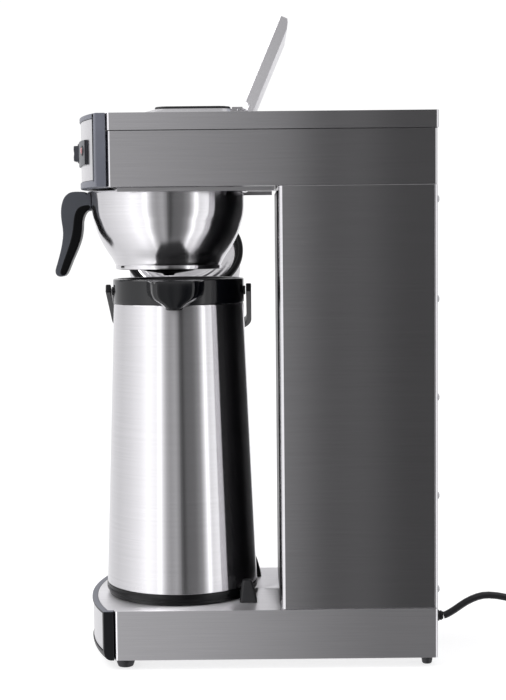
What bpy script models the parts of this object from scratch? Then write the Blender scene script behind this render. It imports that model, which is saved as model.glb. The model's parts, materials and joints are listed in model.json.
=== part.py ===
"""Commercial airpot coffee brewer: stainless C-frame, brew basket, airpot and power cord.

Sizes are in millimetres and are scaled to metres when a mesh is made.  While it is drawn, the machine
stands on z = 0 with its rear face at y = 0, its front towards -y and its mid-plane at x = 0.  The last
step moves everything so that the origin is the bottom centre of the brewer's box.
"""
import math

import bmesh
import bpy
from mathutils import Matrix, Vector

# ---------------------------------------------------------------- driving dimensions (mm)
MM = 0.001
GAP = 0.3
SHEET = 1.2

HALF = 102.5
DEPTH = 344.6
FOOT = 10.5
BASE_TOP = 63.5
HEAD_BOTTOM = 512.0
SEAM = 570.5
HEAD_TOP = 588.5
EDGE_FRONT = 4.2
EDGE_REAR = 3.0
COVER_REAR = 1.2

TOWER_FRONT = -166.0
TOWER_HALF = 101.5
TOWER_PANEL_HALF = 80.0
HEAD_HALF = 101.2
HEAD_SETBACK = 0.4
REAR_PANEL = 2.9
REAR_SCREW_X = 94.0
REAR_SCREW_Z = 496.5

BEZEL_SIDE = 10.9
BEZEL_WALL = 6.0
PLATE_HALF = 98.2
PLATE_RECESS = 1.2
BASE_SAGITTA = 21.0
HEAD_SAGITTA = 26.0

BOWL_Y = -286.5
BOWL_R = 84.3
BOWL_FLANGE = 88.5
BOWL_FLANGE_Z = 508.3
BOWL_TOP = 509.8
BOWL_BOTTOM = 424.4

POT_Y = -276.0
POT_FOOT_Z = BASE_TOP + GAP
POT_R_BOTTOM = 83.9
POT_R_TOP = 72.0
COLLAR_Z = 386.8
COLLAR_TOP = 414.0
BAIL_Z = 400.0
BAIL_ANGLE = 27.0

FILL_HINGE = (-206.5, 593.0)
FILL_OPEN_ANGLE = 113.2
FILL_HALF = 65.0
RIM_TOP = 595.2
GASKET_TOP = 598.0

POT_HINGE = (-77.0, 400.5)
POT_LID_ANGLE = 135.0
LID_CENTRE = 77.0
LID_RING_R = 71.2
LID_FACE = 13.8

ROCKER_Z = 551.8
ROCKER_HALF = 10.0
PANEL_Z = (536.6, 562.6)
PANEL_HALF = 75.5
LAMP_X = 62.0

CORD_R = 4.0
COIL_CENTRE = (-46.3, 182.0)
COIL_MID = 42.0
COIL_HALF_WIDTH = 12.3
COIL_HEIGHT = 16.4
GLAND_Z = 29.8
GLAND_END = 18.0

ROUND = 36
SMALL_ROUND = 16


# ---------------------------------------------------------------- scene and materials
def clear_scene():
    for obj in list(bpy.data.objects):
        bpy.data.objects.remove(obj)


def material(name, colour, metallic, roughness):
    mat = bpy.data.materials.new(name)
    mat.use_nodes = True
    shader = mat.node_tree.nodes["Principled BSDF"]
    shader.inputs["Base Color"].default_value = (*colour, 1.0)
    shader.inputs["Metallic"].default_value = metallic
    shader.inputs["Roughness"].default_value = roughness
    mat.diffuse_color = (*colour, 1.0)
    return mat


def steel(name, shade=0.55, roughness=0.35):
    return material(name, (shade, shade, shade * 1.02), 1.0, roughness)


def plastic(name, shade=0.03, roughness=0.4):
    return material(name, (shade, shade * 1.02, shade * 1.1), 0.0, roughness)


def empty(name, location, parent=None, rotation=(0.0, 0.0, 0.0)):
    """A joint's axis or a group's place: location in mm, rotation in degrees."""
    obj = bpy.data.objects.new(name, None)
    obj.location = Vector(location) * MM
    obj.rotation_euler = [math.radians(a) for a in rotation]
    obj.parent = parent
    bpy.context.scene.collection.objects.link(obj)
    return obj


# ---------------------------------------------------------------- mesh helpers
def finish(name, bm, mat, parent, location=(0.0, 0.0, 0.0), rotation=(0.0, 0.0, 0.0)):
    """Close a bmesh drawn in mm into an object placed under its parent."""
    bmesh.ops.recalc_face_normals(bm, faces=bm.faces)
    bm.transform(Matrix.Scale(MM, 4))
    mesh = bpy.data.meshes.new(name)
    bm.to_mesh(mesh)
    bm.free()
    mesh.materials.append(mat)
    mesh.shade_smooth()
    mesh.set_sharp_from_angle(angle=math.radians(35.0))
    obj = bpy.data.objects.new(name, mesh)
    obj.location = Vector(location) * MM
    obj.rotation_euler = [math.radians(a) for a in rotation]
    obj.parent = parent
    bpy.context.scene.collection.objects.link(obj)
    return obj


def loft(rings, closed=False):
    """Skin rings of equal length; the ends are capped unless the last ring joins the first."""
    bm = bmesh.new()
    rows = [[bm.verts.new(point) for point in ring] for ring in rings]
    pairs = list(zip(rows, rows[1:]))
    if closed:
        pairs.append((rows[-1], rows[0]))
    for low, high in pairs:
        for i in range(len(low)):
            j = (i + 1) % len(low)
            bm.faces.new((low[i], low[j], high[j], high[i]))
    if not closed:
        bm.faces.new(rows[0])
        bm.faces.new(rows[-1])
    return bm


def prism(outline, low, high):
    """A plan outline (x, y) raised from z = low to z = high."""
    return loft([[(x, y, z) for x, y in outline] for z in (low, high)])


def prism_x(outline, left, right):
    """A side outline (y, z) drawn out from x = left to x = right."""
    return loft([[(x, y, z) for y, z in outline] for x in (left, right)])


def prism_y(outline, front, rear):
    """A front outline (x, z) drawn out from y = front to y = rear."""
    return loft([[(x, y, z) for x, z in outline] for y in (front, rear)])


def slab(xs, ys, zs):
    return prism(((xs[0], ys[0]), (xs[1], ys[0]), (xs[1], ys[1]), (xs[0], ys[1])), *zs)


def turned(profile, segments=ROUND):
    """Spin a profile of (radius, height) about z; ends on the axis become poles."""
    bm = bmesh.new()
    rows = []
    for radius, height in profile:
        if radius == 0.0:
            rows.append([bm.verts.new((0.0, 0.0, height))])
            continue
        turns = [2.0 * math.pi * i / segments for i in range(segments)]
        rows.append([bm.verts.new((radius * math.cos(a), radius * math.sin(a), height)) for a in turns])
    pairs = list(zip(rows, rows[1:]))
    if len(rows[0]) > 1:
        pairs.append((rows[-1], rows[0]))
    for low, high in pairs:
        for i in range(segments):
            j = (i + 1) % segments
            if len(low) == 1:
                bm.faces.new((low[0], high[j], high[i]))
            elif len(high) == 1:
                bm.faces.new((low[i], low[j], high[0]))
            else:
                bm.faces.new((low[i], low[j], high[j], high[i]))
    return bm


def rounded_rect(xs, ys, radius, steps=3):
    """A plan rectangle with quarter-round corners."""
    points = []
    corners = ((1, 1, 0), (0, 1, 90), (0, 0, 180), (1, 0, 270))
    for right, top, start in corners:
        cx = xs[1] - radius if right else xs[0] + radius
        cy = ys[1] - radius if top else ys[0] + radius
        for k in range(steps + 1):
            a = math.radians(start + 90.0 * k / steps)
            points.append((cx + radius * math.cos(a), cy + radius * math.sin(a)))
    return points


def combine(obj, tools, operation):
    """Apply Boolean modifiers and drop the tool objects."""
    for tool in tools:
        tool.hide_render = True
        tool.display_type = "WIRE"
        modifier = obj.modifiers.new(operation.lower(), "BOOLEAN")
        modifier.operation = operation
        modifier.object = tool
    bpy.context.view_layer.update()
    result = obj.evaluated_get(bpy.context.evaluated_depsgraph_get())
    mesh = bpy.data.meshes.new_from_object(result)
    obj.modifiers.clear()
    obj.data = mesh
    mesh.shade_smooth()
    mesh.set_sharp_from_angle(angle=math.radians(35.0))
    for tool in tools:
        bpy.data.objects.remove(tool)
    return obj


def cut(obj, *tools):
    return combine(obj, tools, "DIFFERENCE")


def unite(obj, *tools):
    return combine(obj, tools, "UNION")


def tool(bm, parent, location=(0.0, 0.0, 0.0), rotation=(0.0, 0.0, 0.0)):
    return finish("tool", bm, bpy.data.materials[0], parent, location, rotation)


def pin(radius, low, high, segments=SMALL_ROUND):
    return turned(((0.0, low), (radius, low), (radius, high), (0.0, high)), segments)


def smooth_route(points, spacing):
    """Points at an even spacing along a Catmull-Rom curve through the route's own points."""
    knots = [Vector(p) for p in points]
    knots = [2 * knots[0] - knots[1]] + knots + [2 * knots[-1] - knots[-2]]
    fine = []
    for p0, p1, p2, p3 in zip(knots, knots[1:], knots[2:], knots[3:]):
        for k in range(24):
            t = k / 24.0
            fine.append(0.5 * (2 * p1 + (p2 - p0) * t + (2 * p0 - 5 * p1 + 4 * p2 - p3) * t ** 2
                               + (3 * p1 - p0 - 3 * p2 + p3) * t ** 3))
    fine.append(knots[-2])
    lengths = [0.0]
    for a, b in zip(fine, fine[1:]):
        lengths.append(lengths[-1] + (b - a).length)
    count = max(2, round(lengths[-1] / spacing))
    path, k = [], 0
    for i in range(count + 1):
        target = lengths[-1] * i / count
        while k < len(lengths) - 2 and lengths[k + 1] < target:
            k += 1
        step = (target - lengths[k]) / (lengths[k + 1] - lengths[k])
        path.append(fine[k].lerp(fine[k + 1], step))
    return path


def tube(name, points, radius, mat, parent, spacing, resolution=2):
    """A round rod along a smooth route."""
    curve = bpy.data.curves.new(name, "CURVE")
    curve.dimensions = "3D"
    curve.bevel_depth = radius * MM
    curve.bevel_resolution = resolution
    curve.use_fill_caps = True
    route = smooth_route(points, spacing)
    spline = curve.splines.new("POLY")
    spline.points.add(len(route) - 1)
    for target, point in zip(spline.points, route):
        target.co = (*(point * MM), 1.0)
    curve.materials.append(mat)
    obj = bpy.data.objects.new(name, curve)
    obj.parent = parent
    bpy.context.scene.collection.objects.link(obj)
    return obj


# ---------------------------------------------------------------- base
def front_arc(sagitta, inset, half, steps=16):
    """Points of a bezel's curved front from x = +half to x = -half, set in by `inset`."""
    radius = (HALF ** 2 + sagitta ** 2) / (2.0 * sagitta)
    centre = -(DEPTH + BEZEL_SIDE + sagitta) + radius
    xs = [half * (1.0 - 2.0 * k / steps) for k in range(steps + 1)]
    return [(x, centre - math.sqrt((radius - inset) ** 2 - x ** 2)) for x in xs]


def bezel_cap(sagitta, inset, back):
    """Plan outline of a front cap: two straight sides and the curved front."""
    half = HALF - inset
    return [(half, back)] + front_arc(sagitta, inset, half) + [(-half, back)]


def curved_sheet(sagitta, inset, thickness, half, low, high):
    outer = front_arc(sagitta, inset, half)
    inner = front_arc(sagitta, inset + thickness, half)
    return prism(outer + inner[::-1], low, high)


def folded_outline(half, front, rear, inset=0.0):
    """Plan of a folded shell, set in by `inset`: wide bends at the front, tight ones at the rear."""
    sides, ends = (inset - half, half - inset), (front + inset, rear - inset)
    behind = rounded_rect(sides, ends, EDGE_REAR - inset)
    ahead = rounded_rect(sides, ends, EDGE_FRONT - inset)
    middle = len(behind) // 2
    return behind[:middle] + ahead[middle:]


def make_base(frame, mats):
    shell = finish("base_shell", prism(folded_outline(HALF, -DEPTH, 0.0), FOOT, BASE_TOP),
                   mats["base_steel"], frame)
    cut(shell, tool(prism(folded_outline(HALF, -DEPTH, 0.0, SHEET), FOOT - 5.0, BASE_TOP - SHEET), frame),
        tool(pin(9.4, -12.0, 12.0), frame, (0.0, 0.0, GLAND_Z), (90.0, 0.0, 0.0)))
    tray = bezel_cap(BASE_SAGITTA, BEZEL_WALL + GAP, -DEPTH + 4.0)
    unite(shell, tool(prism(tray, BASE_TOP - SHEET, BASE_TOP), frame))

    finish("base_bottom_plate", prism(folded_outline(HALF, -DEPTH, 0.0, SHEET + GAP), FOOT, FOOT + SHEET),
           mats["plate_steel"], frame)

    back = -DEPTH - GAP
    levels = ((FOOT, 6.0), (FOOT + 1.5, 3.0), (FOOT + 5.0, 0.8), (FOOT + 9.0, 0.0), (BASE_TOP, 0.0))
    rings = []
    for z, tuck in levels:
        ring = [(x, min(y + tuck, back), z) for x, y in bezel_cap(BASE_SAGITTA, 0.0, back)]
        rings.append(ring)
    bezel = finish("base_front_bezel", loft(rings), mats["base_bezel"], frame)
    cut(bezel,
        tool(prism(bezel_cap(BASE_SAGITTA, BEZEL_WALL, back + 5.0), FOOT + 4.0, BASE_TOP + 5.0), frame),
        tool(slab((-PLATE_HALF - GAP, PLATE_HALF + GAP), (-DEPTH - 60.0, -DEPTH - 8.0), (20.0, 61.0)), frame))
    finish("base_front_plate", curved_sheet(BASE_SAGITTA, PLATE_RECESS, SHEET, PLATE_HALF, 20.3, 60.7),
           mats["front_plate"], frame)

    front_foot = ((0.0, 0.0), (7.0, 0.0), (8.5, 1.0), (10.0, 7.0), (10.0, FOOT - GAP), (0.0, FOOT - GAP))
    rear_foot = ((0.0, 0.0), (4.2, 0.0), (5.2, 1.0), (6.2, 7.0), (6.2, FOOT - GAP), (0.0, FOOT - GAP))
    for side, x in (("left", -85.0), ("right", 85.0)):
        finish(f"foot_front_{side}", turned(front_foot, SMALL_ROUND), mats["rubber"], frame, (x, -334.0, 0.0))
        finish(f"foot_rear_{side}", turned(rear_foot, SMALL_ROUND), mats["rubber"], frame, (x, -10.0, 0.0))

    for side, x, y in (("left", -62.0, -195.8), ("right", 62.0, -201.0)):
        rings = []
        for z, half, front, rear in ((0.0, 9.0, -10.0, 9.0), (4.0, 8.4, -9.5, 8.5),
                                     (20.0, 6.0, -7.0, 4.0), (24.0, 4.6, -5.6, 1.6)):
            rings.append([(px, py, z) for px, py in rounded_rect((-half, half), (front, rear), 2.0, 2)])
        finish(f"pot_guide_{side}", loft(rings), mats["rubber"], frame, (x, y, BASE_TOP + GAP))


# ---------------------------------------------------------------- tower
def make_tower(frame, mats):
    outer = rounded_rect((-TOWER_HALF, TOWER_HALF), (TOWER_FRONT, 60.0), 4.0)
    low, high = BASE_TOP + GAP, HEAD_BOTTOM - GAP
    shell = finish("tower_shell", prism(outer, low, high), mats["tower_steel"], frame)
    inner = rounded_rect((-TOWER_HALF + SHEET, TOWER_HALF - SHEET), (TOWER_FRONT + SHEET, 80.0), 3.0)
    cut(shell, tool(prism(inner, low - 5.0, high + 5.0), frame),
        tool(slab((-150.0, 150.0), (-REAR_PANEL - GAP, 100.0), (low - 8.0, high + 8.0)), frame))
    finish("rear_panel", prism(rounded_rect((-TOWER_HALF, TOWER_HALF), (-REAR_PANEL, 0.0), 1.4, 2), low, high),
           mats["tower_steel"], frame)
    finish("tower_front_panel", slab((-TOWER_PANEL_HALF, TOWER_PANEL_HALF), (TOWER_FRONT - GAP - 1.0, TOWER_FRONT - GAP),
                                     (low + 4.0, high - 4.0)), mats["black_plastic"], frame)
    head = ((0.0, GAP), (4.0, GAP), (4.0, 1.3), (3.0, 2.4), (1.4, 2.8), (0.0, 2.8))
    for side, x in (("left", -REAR_SCREW_X), ("right", REAR_SCREW_X)):
        finish(f"rear_screw_{side}", turned(head, 12), mats["fastener"], frame,
               (x, 0.0, REAR_SCREW_Z), (-90.0, 0.0, 0.0))


# ---------------------------------------------------------------- water system inside the tower and head
def make_water_system(frame, mats):
    tank = finish("water_tank", prism(rounded_rect((-75.0, 75.0), (-150.0, -25.0), 12.0), 300.0, 480.0),
                  mats["plate_steel"], frame)
    cut(tank, tool(prism(rounded_rect((-73.8, 73.8), (-148.8, -26.2), 10.8), 301.2, 490.0), frame))
    finish("tank_lid", prism(rounded_rect((-76.0, 76.0), (-151.0, -24.0), 12.0), 480.3, 482.0),
           mats["plate_steel"], frame)
    finish("tank_shelf", slab((-100.0, 100.0), (-160.0, -15.0), (297.5, 299.7)), mats["plate_steel"], frame)
    loop = [(-50.0, -60.0, 322.0), (40.0, -60.0, 322.0), (58.0, -75.0, 322.0), (58.0, -100.0, 322.0),
            (40.0, -115.0, 322.0), (-50.0, -115.0, 322.0)]
    tube("heating_element", loop, 4.0, mats["heater"], frame, 14.0)
    disc = ((0.0, 0.0), (9.0, 0.0), (9.0, 4.0), (6.0, 8.0), (0.0, 8.0))
    finish("thermostat", turned(disc, SMALL_ROUND), mats["black_plastic"], frame,
           (-75.3, -90.0, 340.0), (0.0, -90.0, 0.0))

    spray = ((0.0, 510.6), (28.5, 510.6), (30.0, 512.2), (30.0, 513.6), (33.0, 513.6), (33.0, 515.2),
             (8.0, 517.5), (8.0, 522.0), (0.0, 522.0))
    finish("spray_head", turned(spray, 24), mats["plate_steel"], frame, (0.0, BOWL_Y, 0.0))
    brew = [(0.0, BOWL_Y, 523.4), (0.0, BOWL_Y, 528.5), (0.0, BOWL_Y + 9.0, 536.5), (0.0, BOWL_Y + 24.0, 538.0),
            (0.0, -140.0, 537.0), (0.0, -114.0, 530.0), (0.0, -106.0, 512.0), (0.0, -106.0, 482.4)]
    tube("brew_tube", brew, 4.0, mats["silicone"], frame, 11.0)
    inlet = [(34.0, -232.0, 546.0), (34.0, -232.0, 540.5), (34.0, -222.0, 531.0), (34.0, -206.0, 528.5),
             (34.0, -130.0, 528.0), (34.0, -106.0, 520.0), (34.0, -98.0, 500.0), (34.0, -98.0, 482.4)]
    tube("inlet_tube", inlet, 5.5, mats["silicone"], frame, 13.0)

    basin = finish("water_basin", prism(rounded_rect((-62.0, 62.0), (-306.0, -216.0), 14.0), 548.0, 587.1),
                   mats["black_plastic"], frame)
    cut(basin, tool(prism(rounded_rect((-60.4, 60.4), (-304.4, -217.6), 12.4), 549.6, 595.0), frame),
        tool(pin(4.5, 540.0, 560.0), frame, (34.0, -232.0, 0.0)))


# ---------------------------------------------------------------- head
def make_head(frame, mats):
    top = SEAM - GAP
    front = -DEPTH + HEAD_SETBACK
    shell = finish("head_shell", prism(folded_outline(HEAD_HALF, front, 0.0), HEAD_BOTTOM, top),
                   mats["head_steel"], frame)
    cut(shell, tool(prism(folded_outline(HEAD_HALF, front, 0.0, SHEET), HEAD_BOTTOM + SHEET, top + 5.0), frame),
        tool(pin(30.8, 505.0, 520.0, 24), frame, (0.0, BOWL_Y, 0.0)),
        tool(slab((-80.0, 80.0), (-150.0, -20.0), (505.0, 520.0)), frame))

    cover = finish("head_top_cover", prism(folded_outline(HALF, -DEPTH, COVER_REAR), SEAM, HEAD_TOP),
                   mats["head_steel"], frame)
    cut(cover, tool(prism(folded_outline(HALF, -DEPTH, COVER_REAR, 1.0), SEAM - 5.0, HEAD_TOP - 1.0), frame),
        tool(prism(rounded_rect((-56.0, 56.0), (-292.0, -221.0), 10.0), HEAD_TOP - 9.0, HEAD_TOP + 9.0), frame))

    back = -DEPTH - GAP
    bezel = finish("head_front_bezel", prism(bezel_cap(HEAD_SAGITTA, 0.0, back), HEAD_BOTTOM, HEAD_TOP),
                   mats["head_bezel"], frame)
    cut(bezel,
        tool(prism(bezel_cap(HEAD_SAGITTA, BEZEL_WALL, back + 5.0), HEAD_BOTTOM + 3.0, HEAD_TOP - 3.0), frame),
        tool(slab((-PLATE_HALF - GAP, PLATE_HALF + GAP), (-DEPTH - 60.0, -DEPTH - 8.0), (519.0, 583.4)), frame))

    plate = finish("head_front_plate", curved_sheet(HEAD_SAGITTA, PLATE_RECESS, SHEET, PLATE_HALF, 519.3, 583.1),
                   mats["front_plate"], frame)
    panel = finish("switch_panel", curved_sheet(HEAD_SAGITTA, -1.2, 2.1, PANEL_HALF, *PANEL_Z),
                   mats["switch_plastic"], frame)
    surface = -(DEPTH + BEZEL_SIDE + HEAD_SAGITTA)
    radius = (HALF ** 2 + HEAD_SAGITTA ** 2) / (2.0 * HEAD_SAGITTA)
    turn = math.degrees(math.asin(LAMP_X / radius))
    lamp_place = (LAMP_X, surface + radius - math.sqrt(radius ** 2 - LAMP_X ** 2), ROCKER_Z)
    for sheet in (plate, panel):
        cut(sheet,
            tool(slab((-ROCKER_HALF - 0.6, ROCKER_HALF + 0.6), (surface - 9.0, surface + 9.0),
                      (ROCKER_Z - 9.3, ROCKER_Z + 9.3)), frame),
            tool(pin(4.3, -9.0, 9.0), frame, lamp_place, (90.0, 0.0, turn)))
    lens = ((0.0, -4.0), (4.0, -4.0), (4.0, 2.0), (3.0, 2.8), (0.0, 3.2))
    finish("pilot_lamp", turned(lens, SMALL_ROUND), mats["lamp"], frame, lamp_place, (90.0, 0.0, turn))
    finish("switch_body", slab((-10.5, 10.5), (surface + 3.4, surface + 20.0), (541.0, 562.6)),
           mats["black_plastic"], frame)

    low = (RIM_TOP - 6.4, (-66.0, 66.0), (-320.0, -212.0))
    high = (RIM_TOP, (-63.0, 63.0), (-298.5, -213.5))
    rings = [[(x, y, z) for x, y in rounded_rect(xs, ys, 14.0)] for z, xs, ys in (low, high)]
    rim = finish("fill_rim", loft(rings), mats["front_plate"], frame)
    hole = prism(rounded_rect((-56.0, 56.0), (-291.0, -221.0), 10.0), HEAD_TOP - 5.0, RIM_TOP + 5.0)
    cut(rim, tool(hole, frame))
    ears = [tool(slab((x - 3.0, x + 3.0), (-214.0, -202.5), (RIM_TOP - 6.4, 597.2)), frame) for x in (-52.0, 52.0)]
    unite(rim, *ears)
    cut(rim, tool(pin(2.3, -80.0, 80.0), frame, (0.0, *FILL_HINGE), (0.0, 90.0, 0.0)))
    gasket = finish("fill_gasket", prism(rounded_rect((-61.0, 61.0), (-296.5, -215.5), 13.0),
                                         RIM_TOP + GAP, GASKET_TOP), mats["rubber"], frame)
    cut(gasket, tool(prism(rounded_rect((-56.5, 56.5), (-291.5, -220.5), 10.0), 590.0, 605.0), frame))
    finish("fill_hinge_pin", pin(2.0, -57.0, 57.0), mats["fastener"], frame,
           (0.0, *FILL_HINGE), (0.0, 90.0, 0.0))

    for side, sign in (("left", -1.0), ("right", 1.0)):
        section = [(88.9, 511.7), (90.1, 511.7), (90.1, 507.2), (85.6, 507.2), (85.6, 508.0), (88.9, 508.0)]
        finish(f"basket_rail_{side}", prism_y([(sign * x, z) for x, z in section], -335.0, -170.0),
               mats["plate_steel"], frame)


# ---------------------------------------------------------------- fill lid and rocker
def make_fill_lid(frame, mats):
    pivot = empty("fill_lid_pivot", (0.0, *FILL_HINGE), frame, (-FILL_OPEN_ANGLE, 0.0, 0.0))
    side = [(-3.0, 8.0), (-9.0, 8.0), (-11.0, 3.0), (-108.3, 3.0), (-108.3, 10.6), (-105.0, 12.6),
            (-97.0, 14.8), (-3.0, 14.8)]
    shell = finish("fill_lid_shell", prism_x(side, -FILL_HALF, FILL_HALF), mats["lid_steel"], pivot)
    cut(shell, tool(slab((-FILL_HALF + SHEET, FILL_HALF - SHEET), (-104.5, -6.5), (0.0, 10.5)), pivot))
    knuckles = []
    for x in (-45.0, 45.0):
        knuckles.append(tool(slab((x - 3.5, x + 3.5), (-5.0, -1.0), (0.0, 9.0)), pivot))
        knuckles.append(tool(pin(4.0, -3.5, 3.5), pivot, (x, 0.0, 0.0), (0.0, 90.0, 0.0)))
    unite(shell, *knuckles)
    cut(shell, tool(pin(2.3, -80.0, 80.0), pivot, (0.0, 0.0, 0.0), (0.0, 90.0, 0.0)))
    finish("fill_lid_liner", prism(rounded_rect((-62.0, 62.0), (-104.0, -12.0), 8.0), 5.4, 10.2),
           mats["liner"], pivot)


def make_rocker(frame, mats):
    surface = -(DEPTH + BEZEL_SIDE + HEAD_SAGITTA) - 1.2
    pivot = empty("rocker_pivot", (0.0, surface, ROCKER_Z), frame)
    side = [(2.6, -5.5), (0.2, -6.0), (0.0, -8.75), (-6.3, -8.4), (-6.3, 8.4), (0.0, 8.75), (0.2, 6.0), (2.6, 5.5)]
    finish("power_rocker", prism_x(side, -ROCKER_HALF, ROCKER_HALF), mats["switch_plastic"], pivot)


# ---------------------------------------------------------------- brew basket
def bowl_outline():
    """Outer side of the bowl, from its flange down to the floor's edge."""
    return [(BOWL_R, BOWL_FLANGE_Z - 0.3), (84.2, 491.0), (83.2, 482.5), (81.2, 475.0), (76.8, 461.5),
            (69.5, 447.3), (62.4, 436.5), (58.9, 429.8), (58.6, 425.2), (57.4, BOWL_BOTTOM)]


def make_basket(frame, mats):
    pivot = empty("basket_slide", (0.0, BOWL_Y, 0.0), frame)
    outer = bowl_outline()
    inner = [(r - 1.0, z + 0.4) for r, z in reversed(outer[:-1])]
    profile = [(BOWL_FLANGE, BOWL_TOP), (BOWL_FLANGE, BOWL_FLANGE_Z)] + outer
    profile += [(8.0, BOWL_BOTTOM), (8.0, BOWL_BOTTOM + 1.0), (55.0, BOWL_BOTTOM + 1.0)] + inner
    profile += [(BOWL_R - 1.0, BOWL_TOP)]
    finish("basket_bowl", turned(profile), mats["bowl_steel"], pivot)

    tip = ((3.0, 417.0), (5.5, 417.0), (7.0, 419.0), (27.0, 422.4), (28.5, 424.1), (3.0, 424.1))
    finish("basket_dripper", turned(tip, 24), mats["black_plastic"], pivot)

    hoop = ((48.0, 431.0), (50.5, 431.0), (50.5, 433.0), (48.0, 433.0))
    rack = finish("filter_rack", turned(hoop, 24), mats["fastener"], pivot)
    bars = [tool(slab((-49.0, 49.0), (-1.2, 1.2), (431.3, 432.7)), pivot, (0.0, 0.0, 0.0), (0.0, 0.0, turn))
            for turn in (0.0, 60.0, 120.0)]
    unite(rack, *bars)

    front = BOWL_Y
    outline = [(-371.1, 507.6), (-375.6, 507.6), (-375.6, 510.2), (-388.0, 510.5), (-395.0, 509.0),
               (-400.5, 503.5), (-403.6, 494.0), (-404.0, 482.0), (-402.2, 465.0), (-404.4, 449.0),
               (-408.4, 434.0), (-411.6, 423.0), (-409.5, 418.0), (-404.5, 416.8), (-399.5, 419.5),
               (-393.0, 434.5), (-387.2, 447.3), (-383.0, 459.0), (-381.3, 469.4), (-380.8, 477.5),
               (-378.8, 484.6), (-375.8, 489.0), (-371.1, 490.8)]
    handle = finish("basket_handle", prism_x([(y - front, z) for y, z in outline], -11.0, 11.0),
                    mats["handle"], pivot)
    bevel = handle.modifiers.new("soft_edges", "BEVEL")
    bevel.width = 0.0025
    bevel.segments = 2
    bevel.limit_method = "ANGLE"
    bevel.angle_limit = math.radians(60.0)


# ---------------------------------------------------------------- airpot
SPOUT_FRONT = ((1.0, 0.0), (0.93, 0.30), (0.84, 0.62), (0.74, 0.87), (0.62, 0.97), (0.3, 1.0))


def spout_rings():
    """Sections of the hood over the spout; its back follows the collar."""
    across = [(-y, depth) for y, depth in SPOUT_FRONT] + [(0.0, 1.0)] + list(SPOUT_FRONT[::-1])
    rings = []
    for z, half, near, far in ((384.2, 9.0, 89.0, 101.0), (385.6, 11.6, 87.0, 103.4), (389.2, 17.0, 79.0, 104.4),
                               (393.6, 26.0, 74.0, 104.8), (398.5, 30.0, 73.6, 104.6), (405.0, 31.0, 73.6, 103.6),
                               (411.5, 31.0, 73.6, 102.0), (413.5, 30.2, 73.6, 100.0)):
        sag = [73.6 - math.sqrt(73.6 ** 2 - (half * t) ** 2) for t in (1.0, 0.5, 0.0, -0.5)]
        edge = near - sag[0]
        front = [(edge + (far - edge) * depth, half * y, z) for y, depth in across]
        back = [(near - sag[k], half * t, z) for k, t in ((1, 0.5), (2, 0.0), (3, -0.5))]
        rings.append(front + back)
    return rings


def make_airpot(frame, mats):
    pot = empty("airpot_slide", (0.0, POT_Y, 0.0), frame)
    z0 = POT_FOOT_Z
    ring = ((80.6, z0), (82.2, z0), (82.8, z0 + 3.4), (84.5, z0 + 5.0), (84.5, z0 + 12.0), (80.6, z0 + 12.0))
    finish("airpot_base_ring", turned(ring), mats["black_plastic"], pot)
    seat = z0 + 12.3
    shell = ((0.0, z0 + 4.0), (80.2, z0 + 4.0), (80.2, seat), (POT_R_BOTTOM, seat), (POT_R_TOP, COLLAR_Z - GAP),
             (POT_R_TOP - 1.0, COLLAR_Z - GAP), (POT_R_BOTTOM - 4.7, seat + 1.0), (79.2, z0 + 5.0), (0.0, z0 + 5.0))
    finish("airpot_shell", turned(shell), mats["pot_steel"], pot)
    liner = ((0.0, 82.0), (58.0, 82.0), (66.0, 92.0), (62.0, 350.0), (35.0, 374.0), (35.0, 401.0), (33.8, 401.0),
             (33.8, 373.0), (60.8, 349.0), (64.8, 92.6), (57.4, 83.2), (0.0, 83.2))
    finish("airpot_liner", turned(liner, 24), mats["plate_steel"], pot)
    siphon = ((2.8, 92.0), (4.0, 92.0), (4.0, 398.0), (2.8, 398.0))
    finish("siphon_tube", turned(siphon, 12), mats["silicone"], pot, (25.0, 0.0, 0.0))

    section = ((71.6, COLLAR_Z), (72.6, COLLAR_Z + 4.0), (72.6, COLLAR_TOP - 1.5), (71.0, COLLAR_TOP),
               (67.5, COLLAR_TOP), (64.0, 409.5), (37.0, 405.5), (36.0, 401.3), (64.0, 402.5),
               (68.6, 399.0), (68.6, COLLAR_Z))
    collar = finish("airpot_collar", turned(section), mats["collar"], pot)
    lugs = [tool(pin(5.0, 70.5, 74.2), pot, (0.0, 0.0, BAIL_Z), (turn, 0.0, 0.0)) for turn in (-90.0, 90.0)]
    ears = [tool(slab((-83.0, -70.0), (y - 3.0, y + 3.0), (395.5, 405.5)), pot) for y in (-16.5, 16.5)]
    unite(collar, *lugs, *ears)
    place = (POT_HINGE[0], 0.0, POT_HINGE[1])
    cut(collar, tool(pin(2.3, -30.0, 30.0), pot, place, (90.0, 0.0, 0.0)))
    finish("airpot_hinge_pin", pin(2.0, -19.0, 19.0), mats["fastener"], pot, place, (90.0, 0.0, 0.0))

    finish("airpot_spout", loft(spout_rings()), mats["collar"], pot)

    bail = empty("bail_pivot", (0.0, 0.0, BAIL_Z), pot, (0.0, -BAIL_ANGLE, 0.0))
    outline = []
    for radius, turns in ((36.0, 1), (29.8, -1)):
        arc = [(-72.0 - radius * math.sin(math.radians(a)), side * 44.8 + radius * math.cos(math.radians(a)))
               for side, start in ((1.0, 0), (-1.0, 90)) for a in range(start, start + 91, 15)]
        leg = [(8.0, 44.8 + radius)] + arc + [(8.0, -44.8 - radius)]
        outline += leg[::turns]
    finish("airpot_bail", prism(outline, -5.0, 5.0), mats["handle"], bail)
    return pot


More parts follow.
